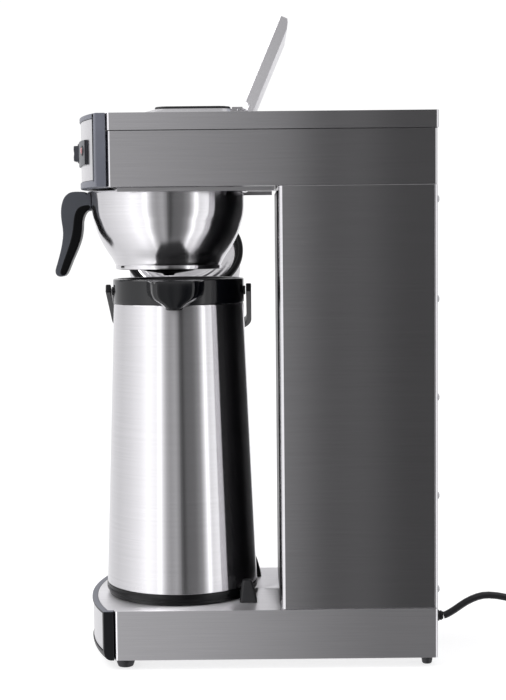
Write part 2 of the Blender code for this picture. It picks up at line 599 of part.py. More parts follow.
def make_airpot_lid(pot, mats):
    """The lid is drawn shut, about its hinge pin, and its pivot opens it."""
    pivot = empty("airpot_lid_pivot", (POT_HINGE[0], 0.0, POT_HINGE[1]), pot, (0.0, -POT_LID_ANGLE, 0.0))
    centre = (LID_CENTRE, 0.0, 0.0)
    z = LID_FACE
    ring_section = ((66.2, z), (70.0, z), (LID_RING_R, z + 1.4), (LID_RING_R, z + 5.4), (62.5, z + 5.4),
                    (62.5, z + 4.0), (66.2, z + 3.6))
    ring = finish("airpot_lid_ring", turned(ring_section), mats["black_plastic"], pivot, centre)
    unite(ring, tool(slab((-4.0, 4.0), (-12.5, 12.5), (0.0, z + 5.4)), pivot),
          tool(slab((-4.0, 9.0), (-12.5, 12.5), (z + 1.5, z + 5.4)), pivot),
          tool(pin(4.0, -12.5, 12.5), pivot, (0.0, 0.0, 0.0), (90.0, 0.0, 0.0)))
    cut(ring, tool(pin(2.3, -30.0, 30.0), pivot, (0.0, 0.0, 0.0), (90.0, 0.0, 0.0)))

    dish = ((0.0, z + 1.0), (16.0, z + 1.0), (18.0, z + 5.0), (40.0, z + 7.2), (44.0, z + 4.6), (54.0, z + 4.6),
            (62.2, z + 6.3), (62.2, z + 7.8), (53.0, z + 6.1), (45.0, z + 6.1), (41.0, z + 8.7), (0.0, z + 8.7))
    finish("airpot_lid_dish", turned(dish, 24), mats["dish_steel"], pivot, centre)

    cap = ((67.3, z + 5.7), (67.3, z + 36.0), (65.5, z + 41.0), (60.0, z + 44.2), (30.0, z + 45.5),
           (30.0, z + 43.5), (59.0, z + 42.2), (63.2, z + 39.6), (64.9, z + 35.6), (64.9, z + 5.7))
    finish("airpot_lid_cap", turned(cap, 30), mats["pot_steel"], pivot, centre)
    button = ((0.0, z + 29.0), (25.0, z + 29.0), (29.5, z + 31.0), (29.5, z + 49.0), (26.0, z + 51.0), (0.0, z + 51.5))
    finish("pump_button", turned(button, 24), mats["black_plastic"], pivot, centre)
    bellows = ((0.0, z + 9.3), (14.0, z + 9.3), (20.0, z + 12.0), (12.5, z + 13.5), (12.5, z + 13.6), (0.0, z + 13.6))
    finish("pump_valve", turned(bellows, 24), mats["silicone"], pivot, centre)


# ---------------------------------------------------------------- power cord
def cord_route():
    """Centre line from the gland to the coil, in (y, z) at x = 0."""
    return [(20.3, 30.1), (22.6, 31.0), (31.1, 36.0), (44.1, 44.8), (57.1, 50.6), (70.1, 52.4), (89.5, 49.6),
            (104.0, 42.4), (118.0, 32.6), (131.0, 22.8), (142.6, 16.4)]


def make_cord(frame, mats):
    boot = ((0.0, -6.0), (9.1, -6.0), (9.1, 0.2), (10.6, 0.3), (10.6, 5.0), (8.2, 7.0), (5.4, GLAND_END),
            (0.0, GLAND_END))
    finish("cord_gland", turned(boot, 20), mats["black_plastic"], frame, (0.0, 0.0, GLAND_Z), (-90.0, 0.0, 0.0))
    tube("power_cord", [(0.0, y, z) for y, z in cord_route()], CORD_R, mats["cord"], frame, 9.0, 3)
    inner, outer = COIL_MID - COIL_HALF_WIDTH, COIL_MID + COIL_HALF_WIDTH
    section = ((inner, 0.0), (outer, 0.0), (outer, COIL_HEIGHT), (inner, COIL_HEIGHT))
    finish("cord_coil", turned(section), mats["cord"], frame, (*COIL_CENTRE, 0.0))

    start = (COIL_CENTRE[0] - 31.0, COIL_CENTRE[1] + 50.0, 0.0)
    rings = []
    for x, half, low, high in ((0.0, 4.6, 0.2, 9.4), (-18.0, 5.6, 0.1, 11.0), (-20.0, 10.0, 0.0, 18.0),
                               (-46.0, 13.0, 0.0, 24.0), (-50.0, 12.0, 0.6, 23.4)):
        bend = min(2.5, half * 0.5)
        section = rounded_rect((-half, half), (low, high), bend, 2)
        rings.append([(x, y, z) for y, z in section])
    plug = finish("power_plug", loft(rings), mats["cord"], frame, start)
    prongs = [slab((-67.0, -48.0), (y - 0.8, y + 0.8), (12.5, 19.0)) for y in (-6.3, 6.3)]
    ground = turned(((0.0, 0.0), (2.4, 0.0), (2.4, 20.0), (0.0, 21.5)), 12)
    unite(plug, *[tool(prong, frame, start) for prong in prongs],
          tool(ground, frame, (start[0] - 48.0, start[1], 6.0), (0.0, -90.0, 0.0)))


# ---------------------------------------------------------------- assembly
CORD_NODES = ("cord_gland", "power_cord", "cord_coil", "power_plug")


def centre_on_origin(frame):
    """Stand the brewer's own box, without its cord, on the origin."""
    bpy.context.view_layer.update()
    graph = bpy.context.evaluated_depsgraph_get()
    low, high = Vector((1e9,) * 3), Vector((-1e9,) * 3)
    for obj in bpy.data.objects:
        if obj.type != "MESH" or obj.name in CORD_NODES:
            continue
        mesh = obj.evaluated_get(graph).to_mesh()
        for vert in mesh.vertices:
            point = obj.matrix_world @ vert.co
            low = Vector(map(min, low, point))
            high = Vector(map(max, high, point))
    frame.location = (-(low.x + high.x) / 2.0, -(low.y + high.y) / 2.0, -low.z)
    bpy.context.view_layer.update()


def build():
    clear_scene()
    mats = {
        "base_steel": steel("base_steel", 0.5),
        "tower_steel": steel("tower_steel", 0.45),
        "head_steel": steel("head_steel", 0.48),
        "plate_steel": steel("plate_steel", 0.6, 0.3),
        "lid_steel": steel("lid_steel", 0.62, 0.3),
        "front_plate": steel("front_plate", 0.7, 0.3),
        "bowl_steel": steel("bowl_steel", 0.6, 0.22),
        "pot_steel": steel("pot_steel", 0.6, 0.25),
        "dish_steel": steel("dish_steel", 0.62, 0.25),
        "fastener": steel("fastener", 0.65, 0.25),
        "heater": steel("heater", 0.3, 0.5),
        "head_bezel": plastic("head_bezel", 0.11, 0.45),
        "base_bezel": plastic("base_bezel", 0.04, 0.4),
        "switch_plastic": plastic("switch_plastic", 0.09, 0.4),
        "black_plastic": plastic("black_plastic", 0.015, 0.3),
        "collar": plastic("collar", 0.012, 0.15),
        "handle": plastic("handle", 0.05, 0.45),
        "rubber": plastic("rubber", 0.015, 0.6),
        "liner": plastic("liner", 0.25, 0.5),
        "silicone": plastic("silicone", 0.5, 0.5),
        "cord": plastic("cord", 0.012, 0.35),
        "lamp": material("lamp", (0.7, 0.25, 0.25), 0.0, 0.2),
    }
    frame = empty("brewer_frame", (0.0, 0.0, 0.0))
    make_base(frame, mats)
    make_tower(frame, mats)
    make_water_system(frame, mats)
    make_head(frame, mats)
    make_fill_lid(frame, mats)
    make_rocker(frame, mats)
    make_basket(frame, mats)
    make_airpot_lid(make_airpot(frame, mats), mats)
    make_cord(frame, mats)
    centre_on_origin(frame)


build()
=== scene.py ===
"""Looks of the commercial airpot coffee brewer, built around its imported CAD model.

Lengths are in millimetres unless a name says otherwise.  Pieces are drawn in the machine's own frame
(rear face at y = 0, front towards -y, mid-plane at x = 0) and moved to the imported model's frame.
"""
import json
import math

import bmesh
import bpy
from mathutils import Matrix, Vector


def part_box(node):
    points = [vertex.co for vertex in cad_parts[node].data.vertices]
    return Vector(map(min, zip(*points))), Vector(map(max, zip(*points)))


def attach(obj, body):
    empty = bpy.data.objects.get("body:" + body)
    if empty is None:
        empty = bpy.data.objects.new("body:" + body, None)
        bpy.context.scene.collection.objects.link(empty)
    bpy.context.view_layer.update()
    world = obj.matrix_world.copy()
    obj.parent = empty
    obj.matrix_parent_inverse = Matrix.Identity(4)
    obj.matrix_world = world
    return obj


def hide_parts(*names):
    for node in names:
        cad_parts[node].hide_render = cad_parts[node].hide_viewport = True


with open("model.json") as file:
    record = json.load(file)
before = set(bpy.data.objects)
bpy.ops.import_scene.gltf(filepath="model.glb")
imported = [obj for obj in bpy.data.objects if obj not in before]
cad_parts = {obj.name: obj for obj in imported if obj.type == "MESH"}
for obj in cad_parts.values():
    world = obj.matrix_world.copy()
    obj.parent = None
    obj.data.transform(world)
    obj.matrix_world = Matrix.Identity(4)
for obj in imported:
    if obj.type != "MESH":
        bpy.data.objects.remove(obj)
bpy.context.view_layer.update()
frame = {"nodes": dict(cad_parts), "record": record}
NODES = frame["nodes"]

MM = 0.001
BASE_LOW, BASE_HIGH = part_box("base_shell")
SHIFT = Vector(((BASE_LOW.x + BASE_HIGH.x) / 2.0, BASE_HIGH.y, 0.0))
TO_ROW = Matrix.Translation(SHIFT) @ Matrix.Scale(MM, 4)

# ---------------------------------------------------------------- dimensions shared with the CAD (mm)
HALF, DEPTH, FOOT, BASE_TOP = 102.5, 344.6, 10.5, 63.5
HEAD_BOTTOM, HEAD_TOP, GAP = 512.0, 588.5, 0.3
BEZEL_SIDE, BEZEL_WALL, PLATE_HALF, PLATE_RECESS = 10.9, 6.0, 98.2, 1.2
BASE_SAGITTA, HEAD_SAGITTA = 21.0, 26.0
REAR_SCREW_X = 94.0
BOWL_Y, BOWL_R, BOWL_BOTTOM = -286.5, 84.3, 424.4
POT_Y, POT_FOOT_Z = -276.0, 63.8
POT_R_BOTTOM, POT_R_TOP = 83.9, 72.0
COLLAR_Z, COLLAR_TOP, BAIL_Z, BAIL_ANGLE = 386.8, 414.0, 400.0, 27.0
FILL_HINGE, FILL_OPEN_ANGLE = (-206.5, 593.0), 113.2
POT_HINGE, POT_LID_ANGLE, LID_CENTRE, LID_RING_R, LID_FACE = (-77.0, 400.5), 135.0, 77.0, 71.2, 13.8
ROCKER_Z, PANEL_Z, PANEL_HALF, LAMP_X = 551.8, (536.6, 562.6), 75.5, 62.0
CORD_R, COIL_CENTRE, GLAND_Z = 4.0, (-46.3, 182.0), 29.8
FRAME = "frame"


# ---------------------------------------------------------------- camera (metres, radians)
CAMERA_SPOT = Vector((1.656, -0.1939, 0.4585))
CAMERA_PITCH, CAMERA_ROLL = 0.07574, -0.00985
SENSOR_MM, LENS_MM = 36.0, 76.5


def make_camera():
    pitch, roll = CAMERA_PITCH, CAMERA_ROLL
    ahead = Vector((-math.cos(pitch), 0.0, -math.sin(pitch)))
    level = Vector((0.0, 1.0, 0.0))
    lift = Vector((-math.sin(pitch), 0.0, math.cos(pitch)))
    right = level * math.cos(roll) + lift * math.sin(roll)
    up = lift * math.cos(roll) - level * math.sin(roll)
    data = bpy.data.cameras.new("camera")
    data.sensor_width = SENSOR_MM
    data.lens = LENS_MM
    data.clip_start, data.clip_end = 0.05, 50.0
    camera = bpy.data.objects.new("camera", data)
    camera.matrix_world = Matrix((right, up, -ahead)).transposed().to_4x4()
    camera.location = SHIFT + CAMERA_SPOT
    bpy.context.scene.collection.objects.link(camera)
    bpy.context.scene.camera = camera


make_camera()


# ---------------------------------------------------------------- materials
class Shader:
    """A Principled material with a few node helpers."""

    def __init__(self, name):
        self.mat = bpy.data.materials.new(name)
        self.mat.use_nodes = True
        self.tree = self.mat.node_tree
        self.bsdf = self.tree.nodes["Principled BSDF"]
        self.coords = self.tree.nodes.new("ShaderNodeTexCoord").outputs["Object"]

    def link(self, output, target):
        self.tree.links.new(output, target)

    def set(self, **values):
        for key, value in values.items():
            self.bsdf.inputs[key.replace("_", " ")].default_value = value

    def noise(self, stretch, scale=1.0, detail=3.0, roughness=0.5):
        mapping = self.tree.nodes.new("ShaderNodeMapping")
        mapping.inputs["Scale"].default_value = stretch
        self.link(self.coords, mapping.inputs["Vector"])
        noise = self.tree.nodes.new("ShaderNodeTexNoise")
        noise.inputs["Scale"].default_value = scale
        noise.inputs["Detail"].default_value = detail
        noise.inputs["Roughness"].default_value = roughness
        self.link(mapping.outputs["Vector"], noise.inputs["Vector"])
        return noise.outputs["Fac"]

    def ramp(self, fac, low, high, start=0.3, end=0.7):
        ramp = self.tree.nodes.new("ShaderNodeValToRGB")
        ramp.color_ramp.elements[0].position = start
        ramp.color_ramp.elements[0].color = (*low, 1.0)
        ramp.color_ramp.elements[1].position = end
        ramp.color_ramp.elements[1].color = (*high, 1.0)
        self.link(fac, ramp.inputs["Fac"])
        return ramp.outputs["Color"]

    def span(self, fac, low, high):
        node = self.tree.nodes.new("ShaderNodeMapRange")
        node.inputs["From Min"].default_value = 0.3
        node.inputs["From Max"].default_value = 0.7
        node.inputs["To Min"].default_value = low
        node.inputs["To Max"].default_value = high
        self.link(fac, node.inputs["Value"])
        return node.outputs["Result"]

    def bump(self, fac, strength, distance=0.0002):
        node = self.tree.nodes.new("ShaderNodeBump")
        node.inputs["Strength"].default_value = strength
        node.inputs["Distance"].default_value = distance
        self.link(fac, node.inputs["Height"])
        self.link(node.outputs["Normal"], self.bsdf.inputs["Normal"])


def tinted(shade, tint=(1.0, 0.985, 1.01)):
    return tuple(shade * t for t in tint)


def steel(name, shade, roughness, grain, spread=0.95, strength=0.04, variation=0.05, turn=0.25):
    """Brushed steel: `grain` is the noise frequency along x, y and z, low along the brush lines."""
    sh = Shader(name)
    fine = sh.noise(grain, 1.0, 4.0, 0.6)
    cloud = sh.noise((9.0, 9.0, 9.0), 1.0, 2.0)
    sh.link(sh.ramp(fine, tinted(shade * (1 - variation)), tinted(shade * (1 + variation))),
            sh.bsdf.inputs["Base Color"])
    sh.link(sh.span(cloud, roughness * 0.94, roughness * 1.06), sh.bsdf.inputs["Roughness"])
    sh.bump(fine, strength)
    sh.set(Metallic=1.0, Anisotropic=spread, Anisotropic_Rotation=turn)
    if spread:
        tangent = sh.tree.nodes.new("ShaderNodeTangent")
        tangent.direction_type = "RADIAL"
        tangent.axis = "Z"
        sh.link(tangent.outputs["Tangent"], sh.bsdf.inputs["Tangent"])
    return sh.mat


def plastic(name, colour, roughness, grain=1400.0, strength=0.05, variation=0.08, coat=0.0, specular=0.5):
    sh = Shader(name)
    fine = sh.noise((grain, grain, grain), 1.0, 2.0)
    cloud = sh.noise((25.0, 25.0, 25.0), 1.0, 3.0)
    low = tuple(c * (1 - variation) for c in colour)
    high = tuple(c * (1 + variation) for c in colour)
    sh.link(sh.ramp(cloud, low, high), sh.bsdf.inputs["Base Color"])
    sh.link(sh.span(cloud, roughness * 0.92, roughness * 1.08), sh.bsdf.inputs["Roughness"])
    sh.bump(fine, strength, 0.0001)
    sh.set(Coat_Weight=coat, Coat_Roughness=0.08, Specular_IOR_Level=specular)
    return sh.mat


ALONG_Y = (500.0, 14.0, 1600.0)
AROUND_Z = (10.0, 10.0, 2000.0)
MATS = {
    "base_steel": steel("base_steel_look", 0.80, 0.32, ALONG_Y, 1.0, 0.01),
    "tower_steel": steel("tower_steel_look", 0.58, 0.15, ALONG_Y, 1.0, 0.01),
    "head_steel": steel("head_steel_look", 0.59, 0.15, ALONG_Y, 1.0, 0.01),
    "cover_steel": steel("cover_steel_look", 0.66, 0.16, ALONG_Y, 1.0, 0.01),
    "plate_steel": steel("plate_steel_look", 0.55, 0.32, (200.0, 30.0, 400.0), 0.5),
    "lid_steel": steel("lid_steel_look", 0.92, 0.40, (40.0, 900.0, 900.0), 0.0),
    "front_plate": steel("front_plate_look", 0.66, 0.28, (14.0, 500.0, 900.0), 0.9),
    "bowl_steel": steel("bowl_steel_look", 0.70, 0.15, AROUND_Z, 0.9, 0.008),
    "pot_steel": steel("pot_steel_look", 0.68, 0.17, AROUND_Z, 1.0, 0.01),
    "cap_steel": steel("cap_steel_look", 0.66, 0.30, (300.0, 300.0, 300.0), 0.0, 0.02),
    "dish_steel": steel("dish_steel_look", 0.68, 0.24, (300.0, 300.0, 300.0), 0.0, 0.02),
    "fastener": steel("fastener_look", 0.62, 0.22, (600.0, 600.0, 600.0), 0.0, 0.02),
    "heater": steel("heater_look", 0.30, 0.5, (300.0, 300.0, 300.0), 0.0),
    "head_bezel": plastic("head_bezel_look", (0.125, 0.130, 0.160), 0.38),
    "base_bezel": plastic("base_bezel_look", (0.004, 0.0042, 0.006), 0.36, specular=0.28),
    "base_rim": plastic("base_rim_look", (0.125, 0.13, 0.16), 0.42),
    "switch_plastic": plastic("switch_plastic_look", (0.050, 0.053, 0.064), 0.36),
    "switch_black": plastic("switch_black_look", (0.012, 0.012, 0.016), 0.3),
    "black_plastic": plastic("black_plastic_look", (0.003, 0.003, 0.0035), 0.24, strength=0.01, specular=0.3),
    "front_black": plastic("front_black_look", (0.006, 0.006, 0.007), 0.34, strength=0.02, specular=0.3),
    "collar": plastic("collar_look", (0.0015, 0.0018, 0.003), 0.13, strength=0.004, coat=0.12, specular=0.45),
    "handle": plastic("handle_look", (0.052, 0.056, 0.068), 0.42),
    "bail_plastic": plastic("bail_plastic_look", (0.003, 0.003, 0.004), 0.3, specular=0.3),
    "lid_black": plastic("lid_black_look", (0.002, 0.002, 0.0025), 0.3, specular=0.12),
    "rubber": plastic("rubber_look", (0.012, 0.012, 0.014), 0.5, 900.0, 0.12),
    "liner": plastic("liner_look", (0.42, 0.44, 0.48), 0.45),
    "silicone": plastic("silicone_look", (0.55, 0.56, 0.60), 0.45),
    "cord": plastic("cord_look", (0.010, 0.010, 0.012), 0.3, 700.0, 0.05),
    "lamp": plastic("lamp_look", (0.34, 0.13, 0.14), 0.2, strength=0.0, coat=0.4),
}


# ---------------------------------------------------------------- mesh helpers
def loft(rings, closed=False):
    bm = bmesh.new()
    rows = [[bm.verts.new(point) for point in ring] for ring in rings]
    pairs = list(zip(rows, rows[1:]))
    if closed:
        pairs.append((rows[-1], rows[0]))
    for low, high in pairs:
        for i in range(len(low)):
            j = (i + 1) % len(low)
            bm.faces.new((low[i], low[j], high[j], high[i]))
    if not closed:
        bm.faces.new(rows[0])
        bm.faces.new(rows[-1])
    return bm


def prism(outline, low, high):
    return loft([[(x, y, z) for x, y in outline] for z in (low, high)])


def prism_x(outline, left, right):
    return loft([[(x, y, z) for y, z in outline] for x in (left, right)])


def prism_y(outline, front, rear):
    return loft([[(x, y, z) for x, z in outline] for y in (front, rear)])


def slab(xs, ys, zs):
    return prism(((xs[0], ys[0]), (xs[1], ys[0]), (xs[1], ys[1]), (xs[0], ys[1])), *zs)


def rounded(profile, radius, steps=3, closed=True):
    """Round a polyline's corners; points on the axis (radius 0) stay."""
    points = [Vector(p) for p in profile]
    count, result = len(points), []
    for i, corner in enumerate(points):
        if corner.x == 0.0 or (not closed and i in (0, count - 1)):
            result.append(tuple(corner))
            continue
        before, after = points[i - 1], points[(i + 1) % count]
        a, b = before - corner, after - corner
        reach = min(radius, a.length * 0.42, b.length * 0.42)
        if reach < 0.05 or abs(a.normalized().cross(b.normalized())) < 0.02:
            result.append(tuple(corner))
            continue
        start, end = corner + a.normalized() * reach, corner + b.normalized() * reach
        for k in range(steps + 1):
            t = k / steps
            spot = start.lerp(corner, t).lerp(corner.lerp(end, t), t)
            result.append(tuple(spot))
    return result


def turned(profile, segments=96):
    bm = bmesh.new()
    rows = []
    for radius, height in profile:
        if radius == 0.0:
            rows.append([bm.verts.new((0.0, 0.0, height))])
            continue
        turns = [2.0 * math.pi * i / segments for i in range(segments)]
        rows.append([bm.verts.new((radius * math.cos(a), radius * math.sin(a), height)) for a in turns])
    pairs = list(zip(rows, rows[1:]))
    if len(rows[0]) > 1:
        pairs.append((rows[-1], rows[0]))
    for low, high in pairs:
        for i in range(segments):
            j = (i + 1) % segments
            if len(low) == 1:
                bm.faces.new((low[0], high[j], high[i]))
            elif len(high) == 1:
                bm.faces.new((low[i], low[j], high[0]))
            else:
                bm.faces.new((low[i], low[j], high[j], high[i]))
    return bm


def pin(radius, low, high, segments=32):
    return turned(((0.0, low), (radius, low), (radius, high), (0.0, high)), segments)


def rounded_rect(xs, ys, radius, steps=6):
    points = []
    for right, top, start in ((1, 1, 0), (0, 1, 90), (0, 0, 180), (1, 0, 270)):
        cx = xs[1] - radius if right else xs[0] + radius
        cy = ys[1] - radius if top else ys[0] + radius
        for k in range(steps + 1):
            a = math.radians(start + 90.0 * k / steps)
            points.append((cx + radius * math.cos(a), cy + radius * math.sin(a)))
    return points


def spline(points, per_span=6, closed=False):
    """Catmull-Rom points through a route."""
    knots = [Vector(p) for p in points]
    if closed:
        knots = [knots[-1]] + knots + knots[:2]
    else:
        knots = [2 * knots[0] - knots[1]] + knots + [2 * knots[-1] - knots[-2]]
    result = []
    for p0, p1, p2, p3 in zip(knots, knots[1:], knots[2:], knots[3:]):
        for k in range(per_span):
            t = k / per_span
            result.append(0.5 * (2 * p1 + (p2 - p0) * t + (2 * p0 - 5 * p1 + 4 * p2 - p3) * t ** 2
                                 + (3 * p1 - p0 - 3 * p2 + p3) * t ** 3))
    if not closed:
        result.append(knots[-2])
    return result


def shift(x=0.0, y=0.0, z=0.0):
    return Matrix.Translation((x, y, z))


def turn(angle, axis):
    return Matrix.Rotation(math.radians(angle), 4, axis)


def shaded(mesh, angle=38.0):
    mesh.shade_smooth()
    mesh.set_sharp_from_angle(angle=math.radians(angle))


def piece(name, bm, mat, body=FRAME, node=None, place=Matrix.Identity(4), bevel=0.0, segments=3):
    """Turn a bmesh drawn in mm into a piece that rides on a body and stands for a CAD node."""
    bmesh.ops.recalc_face_normals(bm, faces=bm.faces)
    bm.transform(TO_ROW @ place)
    mesh = bpy.data.meshes.new(name)
    bm.to_mesh(mesh)
    bm.free()
    return dress(name, mesh, mat, body, node, bevel, segments)


def dress(name, mesh, mat, body=FRAME, node=None, bevel=0.0, segments=3):
    shaded(mesh)
    mesh.materials.clear()
    mesh.materials.append(MATS[mat])
    obj = bpy.data.objects.new(name, mesh)
    bpy.context.scene.collection.objects.link(obj)
    if bevel:
        edge = obj.modifiers.new("edge_round", "BEVEL")
        edge.width = bevel * MM
        edge.segments = segments
        edge.limit_method = "ANGLE"
        edge.angle_limit = math.radians(40.0)
        even = obj.modifiers.new("even_shading", "WEIGHTED_NORMAL")
        even.keep_sharp = True
    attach(obj, body)
    if node:
        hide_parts(*([node] if isinstance(node, str) else node))
    return obj


SLOTS = {row["node"]: row["material_slot"] for row in frame["record"]["subparts"]}


def carve(obj, tools, operation="DIFFERENCE"):
    """Apply Booleans with bmeshes drawn in mm."""
    helpers = []
    for bm, place in tools:
        bmesh.ops.recalc_face_normals(bm, faces=bm.faces)
        bm.transform(TO_ROW @ place)
        mesh = bpy.data.meshes.new("tool")
        bm.to_mesh(mesh)
        bm.free()
        helper = bpy.data.objects.new("tool", mesh)
        bpy.context.scene.collection.objects.link(helper)
        modifier = obj.modifiers.new("carve", "BOOLEAN")
        modifier.operation = operation
        modifier.object = helper
        obj.modifiers.move(len(obj.modifiers) - 1, len(helpers))
        helpers.append(helper)
    later = [m for m in obj.modifiers if m.type != "BOOLEAN"]
    for modifier in later:
        modifier.show_viewport = False
    bpy.context.view_layer.update()
    result = obj.evaluated_get(bpy.context.evaluated_depsgraph_get())
    mesh = bpy.data.meshes.new_from_object(result)
    for modifier in [m for m in obj.modifiers if m.type == "BOOLEAN"]:
        obj.modifiers.remove(modifier)
    for modifier in later:
        modifier.show_viewport = True
    mesh.name = obj.name
    shaded(mesh)
    obj.data = mesh
    for helper in helpers:
        bpy.data.objects.remove(helper)
    return obj


def refined(node, mat, body=FRAME, bevel=0.4, segments=2):
    """A CAD node's own shape with its flat faces made whole and its edges rounded."""
    bm = bmesh.new()
    bm.from_mesh(NODES[node].data)
    bmesh.ops.remove_doubles(bm, verts=bm.verts, dist=1e-6)
    bmesh.ops.dissolve_limit(bm, angle_limit=math.radians(0.8), verts=bm.verts, edges=bm.edges)
    mesh = bpy.data.meshes.new(node)
    bm.to_mesh(mesh)
    bm.free()
    return dress(f"{node}_look", mesh, mat, body, node, bevel, segments)


# ---------------------------------------------------------------- power cord
def coil_ring(radius, start, end, height, steps_per_turn=40):
    """A stretch of one turn as radius, angle in degrees and height, without its last point."""
    count = max(2, round((end - start) / 360.0 * steps_per_turn))
    return [(radius, start + (end - start) * k / count, height) for k in range(count)]


def cord_points():
    """Gland, hump and floor, then two turns on top and three below, and out to the plug."""
    lead = [(0.0, y, z) for y, z in
            ((18.9, 29.8), (22.6, 31.0), (31.1, 36.0), (44.1, 44.8), (57.1, 50.6), (70.1, 52.4), (89.5, 49.6),
             (104.0, 42.4), (118.0, 32.6), (131.0, 22.8), (142.6, 16.4), (156.0, 12.9), (169.0, 12.3))]
    polar = []
    top, low = 12.3, 4.1
    polar += coil_ring(46.3, 0.0, 300.0, top)
    polar += [(46.3 - 8.3 * t, 300.0 + 60.0 * t, top) for t in (0.0, 0.2, 0.4, 0.6, 0.8)]
    polar += coil_ring(38.0, 0.0, 180.0, top)
    for k in range(14):
        t = k / 14.0
        ease = t * t * (3 - 2 * t)
        polar.append((38.0 - 4.3 * ease, 180.0 + 120.0 * t, top - (top - low) * ease))
    polar += coil_ring(33.7, 300.0, 660.0, low)
    for inner, outer in ((33.7, 42.0), (42.0, 50.3)):
        polar += [(inner + (outer - inner) * (3 * t * t - 2 * t ** 3), 300.0 + 60.0 * t, low)
                  for t in (0.0, 0.2, 0.4, 0.6, 0.8)]
        if outer < 50.0:
            polar += coil_ring(outer, 0.0, 300.0, low)
    polar += coil_ring(50.3, 0.0, 92.0, low)
    cx, cy = COIL_CENTRE
    coil = []
    for radius, angle, height in polar:
        a = math.radians(angle)
        coil.append((cx + radius * math.cos(a), cy + radius * math.sin(a), height))
    tail = [(cx - 14.0, cy + 50.2, 4.3), (cx - 33.0, cy + 50.0, 4.8)]
    return lead + coil + tail


def make_cord():
    curve = bpy.data.curves.new("power_cord_lead", "CURVE")
    curve.dimensions = "3D"
    curve.bevel_depth = CORD_R * MM
    curve.bevel_resolution = 6
    curve.use_fill_caps = True
    points = spline(cord_points(), 2)
    line = curve.splines.new("POLY")
    line.points.add(len(points) - 1)
    for target, point in zip(line.points, points):
        target.co = (*(TO_ROW @ point), 1.0)
    curve.materials.append(MATS["cord"])
    cord = bpy.data.objects.new("power_cord_lead", curve)
    bpy.context.scene.collection.objects.link(cord)
    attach(cord, FRAME)
    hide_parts("power_cord", "cord_coil")


def make_plug():
    start = (COIL_CENTRE[0] - 31.0, COIL_CENTRE[1] + 50.0)
    rings = []
    for x, half, low, high in ((0.0, 4.6, 0.4, 9.4), (-3.0, 5.0, 0.3, 10.0), (-4.0, 4.5, 0.5, 9.6),
                               (-7.0, 5.2, 0.3, 10.4), (-8.0, 4.7, 0.5, 10.0), (-11.0, 5.5, 0.2, 10.8),
                               (-12.0, 5.0, 0.4, 10.3), (-16.0, 5.8, 0.1, 11.4), (-18.0, 7.0, 0.1, 13.0),
                               (-20.5, 9.6, 0.1, 17.4), (-26.0, 11.0, 0.1, 19.5), (-32.0, 11.3, 0.1, 20.6),
                               (-38.0, 12.0, 0.1, 22.0), (-45.0, 12.9, 0.1, 23.8), (-49.2, 12.9, 0.2, 23.8),
                               (-50.0, 12.2, 0.8, 23.2)):
        section = rounded_rect((-half, half), (low, high), min(3.4, half * 0.6), 5)
        rings.append([(start[0] + x, start[1] + y, z) for y, z in section])
    piece("power_plug_look", loft(rings), "cord", node="power_plug", bevel=0.3, segments=2)
    for side, y in (("left", start[1] - 6.3), ("right", start[1] + 6.3)):
        blade = slab((start[0] - 66.8, start[0] - 49.0), (y - 0.75, y + 0.75), (12.6, 18.9))
        piece(f"plug_blade_{side}", blade, "fastener", bevel=0.5)
    ground = turned(rounded(((0.0, 0.0), (2.35, 0.0), (2.35, 20.2), (0.0, 21.4)), 0.8), 24)
    piece("plug_ground", ground, "fastener", place=shift(start[0] - 48.0, start[1], 6.0) @ turn(-90.0, "Y"))


def make_gland():
    profile = [(0.0, -5.8), (9.0, -5.8), (9.0, 0.3), (10.6, 0.3), (10.6, 3.2), (9.4, 4.8), (8.4, 5.4)]
    for k in range(4):
        y = 6.0 + 3.0 * k
        r = 8.0 - 0.8 * k
        profile += [(r, y), (r - 0.2, y + 1.7), (r - 1.2, y + 2.0), (r - 1.2, y + 2.8)]
    profile += [(4.9, 18.0), (4.15, 18.0), (4.15, 12.0), (0.0, 12.0)]
    piece("cord_gland_look", turned(rounded(profile, 0.5), 48), "black_plastic", node="cord_gland",
          place=shift(0.0, 0.0, GLAND_Z) @ turn(-90.0, "X"))


make_plug()
make_gland()
make_cord()


# ---------------------------------------------------------------- bezels and front plates
HERE = Matrix.Identity(4)
BASE_WINDOW, HEAD_WINDOW = (20.0, 61.0), (519.0, 583.4)
LENS_HOLE_R = 4.3


def front_arc(sagitta, inset, half, steps=56):
    radius = (HALF ** 2 + sagitta ** 2) / (2.0 * sagitta)
    centre = -(DEPTH + BEZEL_SIDE + sagitta) + radius
    xs = [half * (1.0 - 2.0 * k / steps) for k in range(steps + 1)]
    return [(x, centre - math.sqrt((radius - inset) ** 2 - x ** 2)) for x in xs]


def bezel_cap(sagitta, inset, back):
    half = HALF - inset
    return [(half, back)] + front_arc(sagitta, inset, half) + [(-half, back)]


def bezel_cuts(sagitta, back, low, high, window):
    """What a bezel loses: its hollow behind the wall, and the window for its front plate."""
    hollow = prism(bezel_cap(sagitta, BEZEL_WALL, back + 5.0), low, high)
    opening = slab((-PLATE_HALF - GAP, PLATE_HALF + GAP), (-DEPTH - 60.0, -DEPTH - 8.0), window)
    return [(hollow, HERE), (opening, HERE)]


def curved_sheet(sagitta, inset, thickness, half, low, high):
    outer = front_arc(sagitta, inset, half)
    inner = front_arc(sagitta, inset + thickness, half)
    return prism(outer + inner[::-1], low, high)


